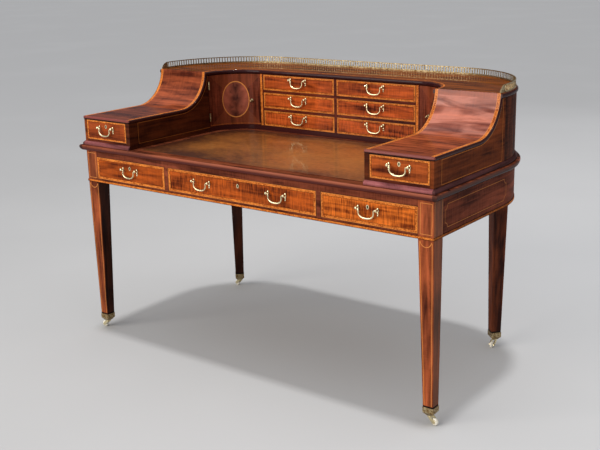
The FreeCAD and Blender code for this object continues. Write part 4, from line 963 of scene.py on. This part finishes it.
bpy.ops.object.select_all(action="DESELECT")
bpy.ops.mesh.primitive_cube_add(size=1, location=(0, LOCK_DEPTH, 0))
lock = bpy.context.object
lock.scale = LOCK_SIZE
bpy.ops.object.transform_apply(location=True, rotation=True, scale=True)
bpy.ops.object.mode_set(mode="EDIT")
bpy.ops.mesh.select_all(action="SELECT")
bpy.ops.mesh.bevel(offset=LOCK_EDGE, segments=2, affect="EDGES")
bpy.ops.mesh.select_mode(type="FACE")
bpy.ops.object.mode_set(mode="OBJECT")
back_face = max(lock.data.polygons, key=lambda face: face.center.y + face.area)
for face in lock.data.polygons:
    face.select = face.index == back_face.index
bpy.ops.object.mode_set(mode="EDIT")
bpy.ops.mesh.inset(thickness=COVER_INSET)
bpy.ops.mesh.extrude_region_move(TRANSFORM_OT_translate={"value": (0, COVER_RISE, 0)})
bpy.ops.mesh.inset(thickness=COVER_RIM)
bpy.ops.object.mode_set(mode="OBJECT")
print("lock", shown(lock.dimensions))

# %% Hang the handles
POST_OFFSET, POST_REACH, HUSK_FORWARD, KEYHOLE_RISE = 0.036, 0.0105, 0.0006, 0.005
fittings = {}
for name, joint in joints.items():
    if not name.endswith("_bail_lift"):
        continue
    hanging = twin(bail, f"{joint['child']}_bow", joint["pos_m"])
    dress(hanging, handle_brass)
    stand_for(hanging, joint["child"], joint["child"])
    drawer = joint["parent"]
    pieces = fittings.setdefault(drawer, [])
    axis = Vector(joint["pos_m"]) + Vector((0, POST_REACH, 0))
    for reach in (-POST_OFFSET, POST_OFFSET):
        pieces.append(twin(post, f"{drawer}_post", axis + Vector((reach, 0, 0))))
        pieces.append(twin(husk, f"{drawer}_husk", axis + Vector((reach, -HUSK_FORWARD, 0))))
    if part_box(drawer)[0].y < 0 and len(pieces) == 4:
        middle = (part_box(drawer)[0].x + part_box(drawer)[1].x) / 2
        keyhole = Vector((middle, axis.y, axis.z + KEYHOLE_RISE))
        pieces.append(twin(plate, f"{drawer}_keyhole", keyhole))
        pieces.append(twin(lock, f"{drawer}_lock", keyhole))

for drawer, pieces in fittings.items():
    bpy.ops.object.select_all(action="DESELECT")
    for piece in pieces:
        piece.select_set(True)
    bpy.context.view_layer.objects.active = pieces[0]
    bpy.ops.object.join()
    joined = bpy.context.object
    joined.name = joined.data.name = f"{drawer}_brasses"
    dress(joined, handle_brass)
    stand_for(joined, f"{drawer.removesuffix('_drawer')}_handle_posts", drawer)
print(len(fittings), "drawers have their handles")

# %% [markdown]
# ## Wheels
# The casters have white ceramic wheels with a rounded tread, turned like beads. The drawing tool
# makes one, and each copy is laid over so that its axis is the axle of its fork.

# %% Ceramic wheels
tread = [
    (-0.0055, 0.0035), (-0.0054, 0.0080), (-0.0046, 0.0105), (-0.0028, 0.0121), (0, 0.0125),
    (0.0028, 0.0121), (0.0046, 0.0105), (0.0054, 0.0080), (0.0055, 0.0035),
]
wheel = turned_rod("wheel", tread, 24)
for name, joint in joints.items():
    if name.endswith("_roll"):
        body, along = joint["child"], Vector(joint["axis"])
        lying = (0, math.pi / 2, math.atan2(along.y, along.x))
        rolling = twin(wheel, f"{body}_tread", joint["pos_m"], lying)
        dress(rolling, finishes["wheel ceramic"])
        stand_for(rolling, f"{body.removesuffix('_wheel')}_caster_wheel", body)
        print(rolling.name, "turns about", shown(along, 2))

# %% [markdown]
# ## Roses
# The knob of each door stands on a turned brass rose, a small stepped ring. It is drawn like the
# wheel and tipped until it faces the middle of the door's curve.

# %% A turned rose under the knob of each door
KNOB_TURN, KNOB_Z = math.radians(73.5), 0.8576
KNOB_X, KNOB_Y = ARC_X + ARC_R * math.cos(KNOB_TURN), ARC_Y + ARC_R * math.sin(KNOB_TURN)
ring = [
    (-0.0010, 0.0078), (0.0008, 0.0078), (0.0020, 0.0066),
    (0.0023, 0.0050), (0.0036, 0.0042), (0.0044, 0.0030),
]
rose = turned_rod("rose", ring, 16)
for side, hand in ((-1, "left"), (1, "right")):
    centre = (side * KNOB_X, KNOB_Y, KNOB_Z)
    tipped = (math.pi / 2, 0, -side * (math.pi / 2 - KNOB_TURN))
    collar = twin(rose, f"{hand}_knob_rose", centre, tipped)
    dress(collar, gallery_brass)
    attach(collar, f"{hand}_door")
    print(collar.name, "at", shown(centre))

# %% Clear the patterns away
for pattern in (bail, post, husk, plate, lock, wheel, rose):
    take_up(pattern)
    bpy.ops.object.delete()

# %% [markdown]
# ## Floor, light and camera
# The desk stands on a pale floor that fills the picture. The floor is painted lighter near the
# desk and towards the right of the picture, a painted pool of light. A broad lamp in front and to
# the left lights the drawers, a high light straight overhead gives the shadow between the legs,
# and a sky fills the rest. The sky is pale at the horizon, like the floor, dim above it, so that
# the polish mirrors something dark, and bright overhead. The camera looks down a little on the
# desk, from its right.

# %% Floor
FLOOR_SIZE, FLOOR_FADE = 300, 0.16
RIGHT_X, RIGHT_Y = 0.79, 0.61  # the way to the right of the picture
bpy.ops.object.select_all(action="DESELECT")
bpy.ops.mesh.primitive_plane_add(size=FLOOR_SIZE)
floor = bpy.context.object
floor.name = "floor"
tree, shader, place = new_finish("pale floor", Roughness=0.95, Specular_IOR_Level=0.0)
x, y, z = parts(tree, place)
# Painted light: the floor is painted lighter near the desk and towards the right of the picture, a
# painted pool of light, with a faint random tone over it.
near = (1.0 - x.length(y) * FLOOR_FADE).held()
right_side = ((x * RIGHT_X + y * RIGHT_Y) * FLOOR_FADE + 0.32) * near
uneven = (noise(tree, place, (0.8, 0.8, 0.8), 3) - 0.5) * 0.15
pale = mix(tree, (right_side + uneven).held(), colour(180, 180, 180), colour(241, 241, 241))
feed(tree, pale, shader.inputs["Base Color"])
dress(floor, finishes["pale floor"])
print("floor", shown(floor.dimensions))

# %% Light
scene = bpy.context.scene
world = bpy.data.worlds.new("soft sky")
scene.world = world
world.use_nodes = True
sky = world.node_tree
height = parts(sky, add(sky, "ShaderNodeTexCoord").outputs["Generated"])[2]
DIM_SKY, BRIGHT_SKY = (0.11, 0.11, 0.12, 1), (0.75, 0.76, 0.79, 1)
dome = mix(sky, ((height - 0.3) * 2.0).held(), DIM_SKY, BRIGHT_SKY)
glow = mix(sky, (height * 14.0 - 0.7).held(), colour(160, 160, 161), dome)
feed(sky, glow, sky.nodes["Background"].inputs["Color"])


def lamp(name, kind, place, aim, power, **settings):
    light = bpy.data.lights.new(name, kind)
    light.energy = power
    for setting, value in settings.items():
        setattr(light, setting, value)
    item = bpy.data.objects.new(name, light)
    scene.collection.objects.link(item)
    item.location = place
    item.rotation_euler = (Vector(aim) - Vector(place)).to_track_quat("-Z", "Y").to_euler()


WARM = (1.0, 0.96, 0.90)
lamp("front lamp", "AREA", (-2.3, -6.2, 2.9), (0, 0, 0.6), 368, size=5.4, color=WARM)
lamp("top light", "SUN", (0.02, -0.03, 6), (0, 0, 0), 1.1, angle=math.radians(5))
print("lamps", [light.name for light in bpy.data.lights])

# %% Camera
EYE = (2.1254, -2.8223, 1.4366)
FOCAL_PIXELS, PICTURE_WIDTH, SENSOR_WIDTH = 984.62, 600, 36
yaw, pitch, roll = (math.radians(v) for v in (37.6274, 15.7045, -1.455))
ahead = Vector(
    (-math.sin(yaw) * math.cos(pitch), math.cos(yaw) * math.cos(pitch), -math.sin(pitch))
)
level = ahead.cross(Vector((0, 0, 1))).normalized()
upright = level.cross(ahead)
right = level * math.cos(roll) + upright * math.sin(roll)
above = upright * math.cos(roll) - level * math.sin(roll)
camera = bpy.data.objects.new("camera", bpy.data.cameras.new("camera"))
scene.collection.objects.link(camera)
facing = Matrix((right, above, -ahead)).transposed().to_4x4()
camera.matrix_world = Matrix.Translation(EYE) @ facing
camera.data.sensor_width = SENSOR_WIDTH
camera.data.lens = FOCAL_PIXELS / PICTURE_WIDTH * SENSOR_WIDTH
scene.camera = camera
scene.view_settings.view_transform = "Standard"
print("lens", round(camera.data.lens, 2), "mm")
